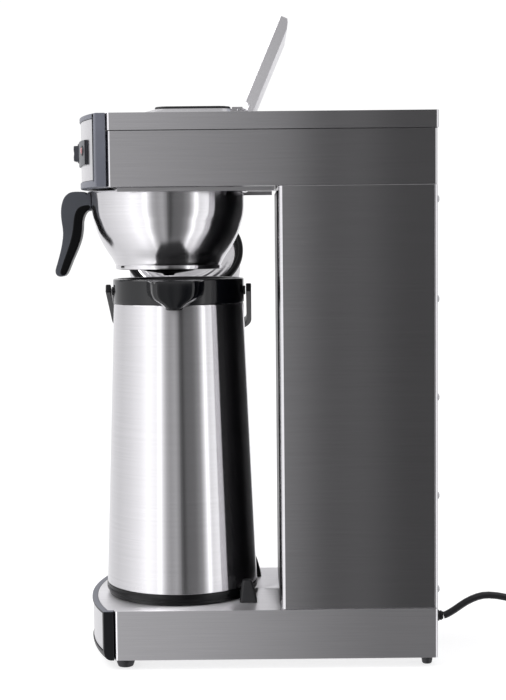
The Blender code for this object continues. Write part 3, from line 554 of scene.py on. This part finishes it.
def make_fronts():
    back = -DEPTH - GAP
    levels = ((FOOT, 7.0), (FOOT + 0.8, 4.4), (FOOT + 2.0, 2.6), (FOOT + 4.0, 1.2), (FOOT + 7.0, 0.3),
              (FOOT + 10.0, 0.0), (BASE_TOP - 0.5, 0.0))
    cap = bezel_cap(BASE_SAGITTA, 0.0, back)
    rings = [[(x, min(y + tuck, back), z) for x, y in cap] for z, tuck in levels]
    bezel = piece("base_bezel_look", loft(rings), "base_bezel", node="base_front_bezel", bevel=0.8)
    carve(bezel, bezel_cuts(BASE_SAGITTA, back, FOOT + 4.0, BASE_TOP + 5.0, BASE_WINDOW))
    rim = prism(bezel_cap(BASE_SAGITTA, 0.1, back) + bezel_cap(BASE_SAGITTA, BEZEL_WALL - 0.1, back)[::-1],
                BASE_TOP - 0.4, BASE_TOP)
    piece("base_rim_look", rim, "base_rim")
    low, high = BASE_WINDOW
    plate = curved_sheet(BASE_SAGITTA, PLATE_RECESS, 1.2, PLATE_HALF, low + GAP, high - GAP)
    piece("base_front_plate_look", plate, "front_plate", node="base_front_plate", bevel=0.35)

    bezel = piece("head_bezel_look", prism(bezel_cap(HEAD_SAGITTA, 0.0, back), HEAD_BOTTOM, HEAD_TOP),
                  "head_bezel", node="head_front_bezel", bevel=1.2, segments=4)
    carve(bezel, bezel_cuts(HEAD_SAGITTA, back, HEAD_BOTTOM + 3.0, HEAD_TOP - 3.0, HEAD_WINDOW))
    low, high = HEAD_WINDOW
    plate = curved_sheet(HEAD_SAGITTA, PLATE_RECESS, 1.2, PLATE_HALF, low + GAP, high - GAP)
    piece("head_front_plate_look", plate, "front_plate", node="head_front_plate", bevel=0.35)


def make_switches():
    surface = -(DEPTH + BEZEL_SIDE + HEAD_SAGITTA)
    radius = (HALF ** 2 + HEAD_SAGITTA ** 2) / (2.0 * HEAD_SAGITTA)
    lamp_turn = math.degrees(math.asin(LAMP_X / radius))
    lamp_place = shift(LAMP_X, surface + radius - math.sqrt(radius ** 2 - LAMP_X ** 2), ROCKER_Z)
    panel = piece("switch_panel_look", curved_sheet(HEAD_SAGITTA, -1.2, 2.1, PANEL_HALF, *PANEL_Z),
                  "switch_plastic", node="switch_panel", bevel=0.5)
    lamp_axis = lamp_place @ turn(lamp_turn, "Z") @ turn(90.0, "X")
    opening = slab((-10.6, 10.6), (surface - 9.0, surface + 9.0), (ROCKER_Z - 9.3, ROCKER_Z + 9.3))
    carve(panel, [(opening, HERE), (pin(LENS_HOLE_R, -9.0, 9.0), lamp_axis)])
    end_x, end_y = front_arc(HEAD_SAGITTA, -1.3, PANEL_HALF + 0.1)[0]
    for side, sign in (("left", -1.0), ("right", 1.0)):
        xs = sorted((sign * end_x, sign * (end_x - 1.2)))
        end = slab(xs, (end_y - 0.5, end_y + 1.9), (PANEL_Z[0] + 0.2, PANEL_Z[1] - 0.2))
        piece(f"panel_end_{side}", end, "switch_black", bevel=0.3)
    lens = ((0.0, -4.0), (4.0, -4.0), (4.0, 1.6), (3.4, 2.4), (2.0, 3.0), (0.0, 3.2))
    piece("pilot_lens", turned(rounded(lens, 0.5), 32), "lamp", node="pilot_lamp", place=lamp_axis)
    ring = ((4.1, 0.6), (5.6, 0.6), (5.6, 1.7), (4.9, 2.2), (4.1, 2.2))
    piece("pilot_ring", turned(rounded(ring, 0.3), 32), "switch_black", place=lamp_axis)

    collar = prism_y(rounded([(-12.2, -10.6), (12.2, -10.6), (12.2, 10.6), (-12.2, 10.6)], 1.6, 4),
                     surface - 2.4, surface + 1.0)
    collar.transform(shift(0.0, 0.0, ROCKER_Z))
    frame_piece = piece("rocker_frame", collar, "switch_plastic", bevel=0.5)
    opening = slab((-10.5, 10.5), (surface - 9.0, surface + 9.0), (ROCKER_Z - 9.2, ROCKER_Z + 9.2))
    carve(frame_piece, [(opening, HERE)])
    pivot = shift(0.0, surface - 1.2, ROCKER_Z)
    side = [(2.6, -5.5), (0.2, -6.0), (0.0, -8.7), (-6.0, -8.4), (-6.25, -4.0), (-5.7, 0.0), (-6.25, 4.0),
            (-6.0, 8.4), (0.0, 8.7), (0.2, 6.0), (2.6, 5.5)]
    piece("rocker_cap", prism_x(rounded(side, 0.8), -10.0, 10.0), "switch_plastic", "rocker", "power_rocker",
          pivot, 0.5)
    piece("switch_body_look", slab((-10.4, 10.4), (surface + 3.5, surface + 19.9), (541.2, 562.4)),
          "black_plastic", node="switch_body", bevel=0.6)


make_fronts()
make_switches()


# ---------------------------------------------------------------- base, tower and head
def screw(name, place, body=FRAME, node=None, radius=4.0, height=2.5):
    head = [(0.0, GAP), (radius, GAP), (radius, 0.9), (radius * 0.86, height * 0.66),
            (radius * 0.5, height * 0.95), (0.0, height + 0.25)]
    obj = piece(name, turned(rounded(head, 0.35), 32), "fastener", body, node, place)
    slot_size = radius * 0.55
    cross = [(slab((-slot_size, slot_size), (-0.45, 0.45), (height - 0.9, height + 2.0)), place),
             (slab((-0.45, 0.45), (-slot_size, slot_size), (height - 0.9, height + 2.0)), place)]
    return carve(obj, cross)


def make_frame():
    refined("base_shell", "base_steel", bevel=1.1, segments=3)
    refined("base_bottom_plate", "plate_steel", bevel=0.3)
    refined("tower_shell", "tower_steel", bevel=0.3)
    refined("rear_panel", "tower_steel", bevel=0.3)
    refined("tower_front_panel", "front_black", bevel=0.3)
    refined("head_shell", "head_steel", bevel=0.8, segments=3)
    refined("head_top_cover", "cover_steel", bevel=1.1, segments=3)
    for side in ("left", "right"):
        refined(f"basket_rail_{side}", "plate_steel", bevel=0.3)
    for side, sign in (("left", -1.0), ("right", 1.0)):
        for k, z in enumerate((496.5, 392.1, 288.3, 183.5, 82.9)):
            node = f"rear_screw_{side}" if k == 0 else None
            screw(f"panel_screw_{side}_{k}", shift(sign * REAR_SCREW_X, 0.0, z) @ turn(-90.0, "X"), node=node)
        for k, y in enumerate((-168.0, -60.0, -290.0)):
            under = shift(sign * 95.0, y, FOOT) @ turn(180.0, "X")
            screw(f"plate_screw_{side}_{k}", under, radius=3.2, height=2.0)

    front = [(0.0, 0.0), (7.2, 0.0), (8.2, 0.6), (9.4, 4.0), (10.0, 7.0), (10.0, FOOT - GAP),
             (0.0, FOOT - GAP)]
    rear = [(0.0, 0.0), (4.4, 0.0), (5.2, 0.8), (6.2, 7.0), (6.2, FOOT - GAP), (0.0, FOOT - GAP)]
    for side, x in (("left", -85.0), ("right", 85.0)):
        for end, profile, y in (("front", front, -334.0), ("rear", rear, -10.0)):
            piece(f"rubber_foot_{end}_{side}", turned(rounded(profile, 0.7), 40), "rubber",
                  node=f"foot_{end}_{side}", place=shift(x, y, 0.0))

    for side, x, y in (("left", -62.0, -195.8), ("right", 62.0, -201.0)):
        rings = []
        for z, half, near, far in ((0.0, 8.9, -9.9, 8.9), (1.2, 8.9, -9.9, 8.9), (2.6, 8.5, -9.5, 8.4),
                                   (6.0, 8.0, -9.1, 7.9), (12.0, 7.2, -8.4, 6.4), (18.0, 6.4, -7.5, 4.7),
                                   (21.5, 6.0, -7.0, 3.4), (23.3, 5.2, -6.2, 2.4), (23.9, 4.0, -5.0, 1.2)):
            outline = rounded_rect((-half, half), (near, far), 2.6, 5)
            rings.append([(across, along, z) for across, along in outline])
        piece(f"guide_post_{side}", loft(rings), "rubber", node=f"pot_guide_{side}",
              place=shift(x, y, BASE_TOP + GAP), bevel=0.3, segments=2)
        rib = prism_x([(-10.0, 0.4), (-8.2, 20.0), (-6.6, 20.0), (-6.6, 0.4)], -1.0, 1.0)
        piece(f"guide_rib_{side}", rib, "rubber", place=shift(x, y + 0.1, BASE_TOP + GAP), bevel=0.4)

    refined("fill_rim", "front_plate", bevel=0.7, segments=3)
    refined("fill_gasket", "rubber", bevel=0.8, segments=3)
    refined("fill_hinge_pin", "fastener", bevel=0.3)
    refined("water_basin", "black_plastic", bevel=0.5)
    refined("spray_head", "plate_steel", bevel=0.4)
    # The spray openings are thin black discs on the spray head, not cut holes: painted shade for the dark
    # inside of each opening.
    spots = [(10.0, 2.0 * math.pi * k / 6) for k in range(6)]
    spots += [(21.0, 2.0 * math.pi * k / 12) for k in range(12)]
    for k, (r, a) in enumerate(spots):
        hole_shade_disc = turned(rounded(((0.0, 0.0), (1.3, 0.0), (1.3, 0.35), (0.0, 0.35)), 0.1), 16)
        piece(f"spray_hole_painted_shade_{k:02d}", hole_shade_disc, "black_plastic",
              place=shift(r * math.cos(a), BOWL_Y + r * math.sin(a), 510.3))


make_frame()


# ---------------------------------------------------------------- fill lid
def make_fill_lid():
    pivot = shift(0.0, *FILL_HINGE) @ turn(-FILL_OPEN_ANGLE, "X")
    refined("fill_lid_shell", "lid_steel", "fill_lid", bevel=0.6, segments=3)
    refined("fill_lid_liner", "liner", "fill_lid", bevel=0.5)
    ridge = prism(rounded([(-57.0, -98.0), (57.0, -98.0), (57.0, -20.0), (-57.0, -20.0)], 8.0, 5), 5.0, 5.5)
    piece("fill_lid_seal", ridge, "liner", "fill_lid", place=pivot, bevel=0.2, segments=2)


make_fill_lid()


# ---------------------------------------------------------------- brew basket
def make_basket():
    centre = shift(0.0, BOWL_Y, 0.0)
    outer = [(BOWL_R, 508.0), (84.3, 500.0), (84.2, 491.0), (83.2, 482.5), (81.2, 475.0), (76.8, 461.5),
             (69.5, 447.3), (62.4, 436.5), (58.9, 429.8)]
    fine = [tuple(p)[:2] for p in spline([(r, z, 0.0) for r, z in outer], 4)]
    fine += [(58.4, 429.2), (58.3, 428.8), (58.7, 428.4), (58.8, 426.0), (58.5, 424.9), (57.6, BOWL_BOTTOM)]
    inner = [(r - 1.0, z + 0.4) for r, z in reversed(fine[:-5])]
    profile = [(87.6, 509.8), (88.3, 509.6), (88.5, 509.0), (88.3, 508.5), (87.6, 508.3), (85.2, 508.3)] + fine
    profile += [(8.0, BOWL_BOTTOM), (8.0, BOWL_BOTTOM + 1.0), (55.0, BOWL_BOTTOM + 1.0)] + inner
    profile += [(BOWL_R - 1.0, 509.4), (BOWL_R - 0.6, 509.8)]
    piece("brew_bowl", turned(profile, 128), "bowl_steel", "basket", "basket_bowl", centre)

    tip = ((3.0, 417.0), (5.5, 417.0), (7.0, 419.0), (27.0, 422.4), (28.5, 424.1), (3.0, 424.1))
    piece("drip_spout", turned(rounded(tip, 0.6), 64), "black_plastic", "basket", "basket_dripper", centre)

    hoop = turned([(49.3 + 1.1 * math.cos(a), 432.0 + 1.0 * math.sin(a))
                   for a in [2.0 * math.pi * k / 10 for k in range(10)]], 64)
    piece("rack_hoop", hoop, "fastener", "basket", "filter_rack", centre)
    for k in range(5):
        reach = math.sqrt(48.8 ** 2 - (k - 2) ** 2 * 16.0 ** 2)
        rod = turned(rounded(((0.0, -reach), (0.9, -reach), (0.9, reach), (0.0, reach)), 0.3), 12)
        piece(f"rack_rod_{k}", rod, "fastener", "basket",
              place=centre @ shift((k - 2) * 16.0, 0.0, 432.0) @ turn(90.0, "X"))

    outline = [(-371.3, 507.4), (-375.6, 507.6), (-377.5, 509.8), (-388.0, 510.3), (-395.0, 508.8),
               (-400.5, 503.5), (-403.6, 494.0), (-404.0, 482.0), (-402.2, 465.0), (-404.4, 449.0),
               (-408.4, 434.0), (-411.4, 423.5), (-409.5, 418.2), (-404.5, 417.0), (-399.5, 419.7),
               (-393.0, 434.5), (-387.2, 447.3), (-383.0, 459.0), (-381.3, 469.4), (-380.8, 477.5),
               (-378.8, 484.6), (-375.8, 488.8), (-371.3, 490.8)]
    smooth = [(max(-411.4, p.x), min(510.4, p.y)) for p in spline([(y, z, 0.0) for y, z in outline], 3, True)]
    piece("basket_grip", prism_x(smooth, -10.5, 10.5), "handle", "basket", "basket_handle", bevel=2.6,
          segments=5)
    # A thin black pad on the grip's inner side is painted shade: it darkens the inner face that curves away
    # from the light.
    shade_outline = [(-372.0, 495.6), (-380.5, 495.2), (-386.6, 491.6), (-390.0, 483.0), (-391.8, 469.4), (-394.2, 458.0),
           (-398.2, 446.0), (-403.4, 432.0), (-406.6, 421.5), (-404.3, 418.2), (-399.2, 419.9), (-392.7, 434.5),
           (-386.9, 447.3), (-382.7, 459.0), (-381.0, 469.4), (-380.5, 477.5), (-378.5, 484.4), (-375.5, 488.5),
           (-372.0, 490.5)]
    edge = [(p.x, p.y) for p in spline([(y, z, 0.0) for y, z in shade_outline], 3, True)]
    piece("basket_grip_painted_shade", prism_x(edge, -10.9, 10.9), "lid_black", "basket", bevel=2.2, segments=5)
    rivet = [(0.0, 0.0), (3.2, 0.0), (3.2, 0.5), (2.2, 1.3), (0.0, 1.6)]
    for name, z in (("upper", 502.0), ("lower", 494.5)):
        piece(f"grip_rivet_{name}", turned(rounded(rivet, 0.3), 24), "fastener", "basket",
              place=shift(0.0, BOWL_Y + 82.6, z) @ turn(90.0, "X"))


make_basket()


# ---------------------------------------------------------------- airpot
SPOUT_FRONT = ((1.0, 0.0), (0.93, 0.30), (0.84, 0.62), (0.74, 0.87), (0.62, 0.97), (0.3, 1.0))
SPOUT_LEVELS = ((384.2, 9.0, 89.0, 101.0), (385.6, 11.6, 87.0, 103.4), (389.2, 17.0, 79.0, 104.4),
                (393.6, 26.0, 74.0, 104.8), (398.5, 30.0, 73.6, 104.6), (405.0, 31.0, 73.6, 103.6),
                (411.5, 31.0, 73.6, 102.0), (413.5, 30.2, 73.6, 100.0))


def spout_rings():
    """Sections of the hood over the spout: height, half width, back and front; the back follows the collar."""
    across = [(-y, depth, 0.0) for y, depth in SPOUT_FRONT] + [(0.0, 1.0, 0.0)]
    across = spline(across + [(y, depth, 0.0) for y, depth in SPOUT_FRONT[::-1]], 4)
    levels = spline([level[:3] for level in SPOUT_LEVELS], 3)
    fronts = spline([(level[0], level[3], 0.0) for level in SPOUT_LEVELS], 3)
    rings = []
    for (z, half, near), (_, far, _) in zip(levels, fronts):
        sag = [73.6 - math.sqrt(73.6 ** 2 - (half * t) ** 2) for t in (1.0, 0.5, 0.0, -0.5)]
        edge = near - sag[0]
        front = [(edge + (far - edge) * p.y, half * p.x, z) for p in across]
        rings.append(front + [(near - sag[k], half * t, z) for k, t in ((1, 0.5), (2, 0.0), (3, -0.5))])
    return rings


def make_airpot():
    pot, z0 = shift(0.0, POT_Y, 0.0), POT_FOOT_Z
    ring = ((80.6, z0), (82.0, z0), (82.8, z0 + 3.2), (82.6, z0 + 4.3), (84.4, z0 + 5.0), (84.5, z0 + 11.0),
            (84.2, z0 + 12.0), (80.6, z0 + 12.0))
    piece("pot_foot_ring", turned(rounded(ring, 0.5), 128), "black_plastic", "airpot", "airpot_base_ring", pot)
    seat = z0 + 12.3
    shell = ((0.0, z0 + 4.0), (80.2, z0 + 4.0), (80.2, seat), (POT_R_BOTTOM, seat), (POT_R_BOTTOM, seat + 1.2),
             (POT_R_TOP + 0.1, COLLAR_Z - 2.0), (POT_R_TOP - 0.2, COLLAR_Z - GAP),
             (POT_R_TOP - 1.0, COLLAR_Z - GAP), (79.2, seat + 1.0), (79.2, z0 + 5.0), (0.0, z0 + 5.0))
    piece("pot_body", turned(rounded(shell, 0.5), 160), "pot_steel", "airpot", "airpot_shell", pot)
    liner = ((0.0, 82.0), (58.0, 82.0), (66.0, 92.0), (62.0, 350.0), (35.0, 374.0), (35.0, 401.0),
             (33.8, 401.0), (33.8, 373.0), (60.8, 349.0), (64.8, 92.6), (57.4, 83.2), (0.0, 83.2))
    piece("pot_liner", turned(rounded(liner, 4.0), 96), "plate_steel", "airpot", "airpot_liner", pot)
    refined("siphon_tube", "silicone", "airpot", 0.2)

    section = ((71.6, COLLAR_Z), (72.3, COLLAR_Z + 0.6), (72.6, COLLAR_Z + 4.0), (72.6, COLLAR_TOP - 1.2),
               (71.4, COLLAR_TOP), (67.5, COLLAR_TOP), (66.0, 411.5), (64.0, 409.5), (50.0, 407.6),
               (37.0, 405.5), (36.0, 401.3), (64.0, 402.5), (68.6, 399.0), (68.6, COLLAR_Z))
    collar = piece("pot_collar", turned(rounded(section, 0.9), 128), "collar", "airpot", "airpot_collar", pot)
    ears = [(slab((-82.5, -70.0), (y - 3.0, y + 3.0), (396.0, 405.0)), pot) for y in (-16.5, 16.5)]
    carve(collar, ears, "UNION")
    for side, sign in (("left", -1.0), ("right", 1.0)):
        lug = turned(rounded(((0.0, 70.5), (5.0, 70.5), (5.0, 74.2), (0.0, 74.2)), 0.8), 32)
        piece(f"bail_lug_{side}", lug, "collar", "airpot", place=pot @ shift(0.0, 0.0, BAIL_Z)
              @ turn(-90.0 * sign, "X"))
    refined("airpot_hinge_pin", "fastener", "airpot", 0.2)

    piece("spout_hood", loft(spout_rings()), "collar", "airpot", "airpot_spout", pot, 0.5)
    nozzle = turned(rounded(((0.0, 0.0), (8.6, 0.0), (9.8, 1.2), (9.8, 9.0), (0.0, 9.0)), 0.6), 40)
    piece("spout_nozzle", nozzle, "black_plastic", "airpot", place=pot @ shift(92.0, 0.0, 382.6))

    outline = []
    for radius, turns in ((35.9, 1), (30.1, -1)):
        arc = [(-72.0 - radius * math.sin(math.radians(a)), side * 44.8 + radius * math.cos(math.radians(a)))
               for side, start in ((1.0, 0), (-1.0, 90)) for a in range(start, start + 91, 6)]
        leg = [(8.0, 44.8 + radius)] + arc + [(8.0, -44.8 - radius)]
        outline += leg[::turns]
    bail = pot @ shift(0.0, 0.0, BAIL_Z) @ turn(-BAIL_ANGLE, "Y")
    piece("bail_strap", prism(outline, -4.9, 4.9), "bail_plastic", "bail", "airpot_bail", bail, 1.2, 4)


def make_airpot_lid():
    hinge = shift(0.0, POT_Y, 0.0) @ shift(POT_HINGE[0], 0.0, POT_HINGE[1]) @ turn(-POT_LID_ANGLE, "Y")
    lid = hinge @ shift(LID_CENTRE, 0.0, 0.0)
    z = LID_FACE
    ring = ((66.2, z + 0.4), (66.8, z), (70.0, z), (LID_RING_R, z + 1.4), (LID_RING_R, z + 5.4),
            (62.5, z + 5.4), (62.5, z + 4.0), (66.2, z + 3.6))
    obj = piece("pot_lid_ring", turned(rounded(ring, 0.5), 128), "lid_black", "airpot_lid",
                "airpot_lid_ring", lid)
    carve(obj, [(slab((-4.0, 4.0), (-12.4, 12.4), (0.0, z + 5.4)), hinge),
                (slab((-4.0, 9.0), (-12.4, 12.4), (z + 1.5, z + 5.4)), hinge),
                (pin(4.0, -12.4, 12.4), hinge @ turn(90.0, "X"))], "UNION")
    dish = [(0.0, z + 1.1), (15.0, z + 1.1), (16.5, z + 2.0), (18.0, z + 5.0), (22.0, z + 6.0),
            (40.0, z + 7.2), (42.0, z + 6.6), (44.0, z + 4.8), (47.0, z + 4.6), (49.0, z + 5.3),
            (51.0, z + 4.7), (54.0, z + 4.7), (56.5, z + 5.5), (59.0, z + 5.2), (62.2, z + 6.3),
            (62.2, z + 7.8), (53.0, z + 6.3), (45.0, z + 6.3), (41.0, z + 8.7), (0.0, z + 8.7)]
    piece("pot_lid_dish", turned(rounded(dish, 1.0), 112), "dish_steel", "airpot_lid", "airpot_lid_dish", lid)
    cap = ((67.3, z + 5.7), (67.3, z + 36.0), (65.5, z + 41.0), (60.0, z + 44.2), (30.0, z + 45.5),
           (30.0, z + 43.5), (59.0, z + 42.2), (63.2, z + 39.6), (64.9, z + 35.6), (64.9, z + 5.7))
    piece("pot_lid_cap", turned(rounded(cap, 2.2, 4), 128), "cap_steel", "airpot_lid", "airpot_lid_cap", lid)
    button = ((0.0, z + 29.0), (25.0, z + 29.0), (29.5, z + 31.0), (29.5, z + 49.0), (26.0, z + 51.0),
              (8.0, z + 51.1), (0.0, z + 50.4))
    piece("pump_knob", turned(rounded(button, 1.6, 4), 80), "black_plastic", "pump", "pump_button", lid)
    valve = ((0.0, z + 9.3), (14.0, z + 9.3), (20.0, z + 12.0), (12.5, z + 13.5), (0.0, z + 13.6))
    piece("pump_seal", turned(rounded(valve, 0.8), 64), "silicone", "airpot_lid", "pump_valve", lid)


make_airpot()
make_airpot_lid()


# ---------------------------------------------------------------- inner parts keep their CAD shape
def dress_inner_nodes():
    for name, obj in NODES.items():
        if obj.hide_render:
            continue
        obj.data.materials.clear()
        obj.data.materials.append(MATS[SLOTS[name]])


dress_inner_nodes()


# ---------------------------------------------------------------- floor, light and surroundings
# Brightness of the studio around the brewer: degrees from +x towards +y, and radiance.
STUDIO = ((-180, 0.95), (-150, 0.95), (-113, 0.86), (-89, 1.0), (-69, 1.2), (-52, 1.55), (-37, 1.35),
          (-31, 1.9), (-26, 1.0), (-20, 0.55), (-14, 0.42), (-5.4, 0.50), (-1, 0.34), (1.4, 0.27),
          (2.5, 0.10), (3.3, 0.085), (4.4, 0.17), (4.9, 0.16), (5.4, 0.075), (7.5, 0.08), (12, 0.15),
          (25, 0.18), (35, 0.35), (41, 0.9), (46, 2.0), (51, 1.0), (63, 1.3), (75, 1.0), (100, 0.7),
          (135, 0.7), (160, 0.9), (180, 0.95))


def make_world():
    world = bpy.data.worlds.new("studio")
    bpy.context.scene.world = world
    world.use_nodes = True
    tree = world.node_tree
    tree.nodes.clear()

    def math_node(operation, *values):
        node = tree.nodes.new("ShaderNodeMath")
        node.operation = operation
        for socket, value in zip(node.inputs, values):
            if isinstance(value, (int, float)):
                socket.default_value = value
            else:
                tree.links.new(value, socket)
        return node.outputs[0]

    coords = tree.nodes.new("ShaderNodeTexCoord").outputs["Generated"]
    split = tree.nodes.new("ShaderNodeSeparateXYZ")
    tree.links.new(coords, split.inputs[0])
    x, y, z = split.outputs
    angle = math_node("ARCTAN2", y, x)
    fac = math_node("ADD", math_node("DIVIDE", angle, 2.0 * math.pi), 0.5)
    ramp = tree.nodes.new("ShaderNodeValToRGB")
    ramp.color_ramp.interpolation = "LINEAR"
    elements = ramp.color_ramp.elements
    while len(elements) < len(STUDIO):
        elements.new(1.0)
    for element, (degrees, value) in zip(elements, STUDIO):
        element.position = degrees / 360.0 + 0.5
        element.color = (value, value, value * 1.015, 1.0)
    tree.links.new(fac, ramp.inputs["Fac"])
    overhead = tree.nodes.new("ShaderNodeMapRange")
    overhead.inputs["From Min"].default_value = 0.35
    overhead.inputs["From Max"].default_value = 0.85
    tree.links.new(z, overhead.inputs["Value"])
    mix = tree.nodes.new("ShaderNodeMix")
    mix.data_type = "RGBA"
    tree.links.new(overhead.outputs["Result"], mix.inputs["Factor"])
    tree.links.new(ramp.outputs["Color"], mix.inputs["A"])
    mix.inputs["B"].default_value = (0.8, 0.8, 0.81, 1.0)
    below = tree.nodes.new("ShaderNodeMapRange")
    below.inputs["From Min"].default_value = -0.75
    below.inputs["From Max"].default_value = -0.97
    tree.links.new(z, below.inputs["Value"])
    sweep = tree.nodes.new("ShaderNodeMix")
    sweep.data_type = "RGBA"
    tree.links.new(below.outputs["Result"], sweep.inputs["Factor"])
    tree.links.new(mix.outputs["Result"], sweep.inputs["A"])
    sweep.inputs["B"].default_value = (0.42, 0.42, 0.43, 1.0)
    lit = tree.nodes.new("ShaderNodeBackground")
    tree.links.new(sweep.outputs["Result"], lit.inputs["Color"])
    plain = tree.nodes.new("ShaderNodeBackground")
    plain.inputs["Color"].default_value = (1.0, 1.0, 1.0, 1.0)
    plain.inputs["Strength"].default_value = 1.05
    choose = tree.nodes.new("ShaderNodeMixShader")
    path = tree.nodes.new("ShaderNodeLightPath")
    tree.links.new(path.outputs["Is Camera Ray"], choose.inputs["Fac"])
    tree.links.new(lit.outputs[0], choose.inputs[1])
    tree.links.new(plain.outputs[0], choose.inputs[2])
    output = tree.nodes.new("ShaderNodeOutputWorld")
    tree.links.new(choose.outputs[0], output.inputs["Surface"])


def make_floor():
    bm = bmesh.new()
    bmesh.ops.create_circle(bm, cap_ends=True, radius=12.0, segments=96)
    mesh = bpy.data.meshes.new("studio_floor")
    bm.to_mesh(mesh)
    bm.free()
    floor = bpy.data.objects.new("studio_floor", mesh)
    floor.location = (0.0, 0.0, -0.0004)
    mat = bpy.data.materials.new("studio_floor_look")
    mat.use_nodes = True
    tree = mat.node_tree
    shader = tree.nodes["Principled BSDF"]
    shader.inputs["Base Color"].default_value = (0.45, 0.45, 0.45, 1.0)
    shader.inputs["Roughness"].default_value = 0.9
    shader.inputs["Specular IOR Level"].default_value = 0.1
    shader.inputs["Emission Color"].default_value = (1.0, 1.0, 1.0, 1.0)
    shader.inputs["Emission Strength"].default_value = 0.72
    through = tree.nodes.new("ShaderNodeBsdfTransparent")
    path = tree.nodes.new("ShaderNodeLightPath")
    choose = tree.nodes.new("ShaderNodeMixShader")
    tree.links.new(path.outputs["Is Glossy Ray"], choose.inputs["Fac"])
    tree.links.new(shader.outputs[0], choose.inputs[1])
    tree.links.new(through.outputs[0], choose.inputs[2])
    tree.links.new(choose.outputs[0], tree.nodes["Material Output"].inputs["Surface"])
    mesh.materials.append(mat)
    bpy.context.scene.collection.objects.link(floor)


def area_light(name, spot, aim, size, watts):
    data = bpy.data.lights.new(name, "AREA")
    data.shape = "RECTANGLE"
    data.size, data.size_y = size
    data.energy = watts
    lamp = bpy.data.objects.new(name, data)
    lamp.location = spot
    lamp.rotation_mode = "QUATERNION"
    lamp.rotation_quaternion = (Vector(aim) - Vector(spot)).to_track_quat("-Z", "Y")
    bpy.context.scene.collection.objects.link(lamp)


make_world()
make_floor()
area_light("key_softbox", (0.5, -1.6, 2.0), (0.05, -0.05, 0.4), (1.6, 1.2), 22.0)

scene = bpy.context.scene
scene.view_settings.view_transform = "Standard"
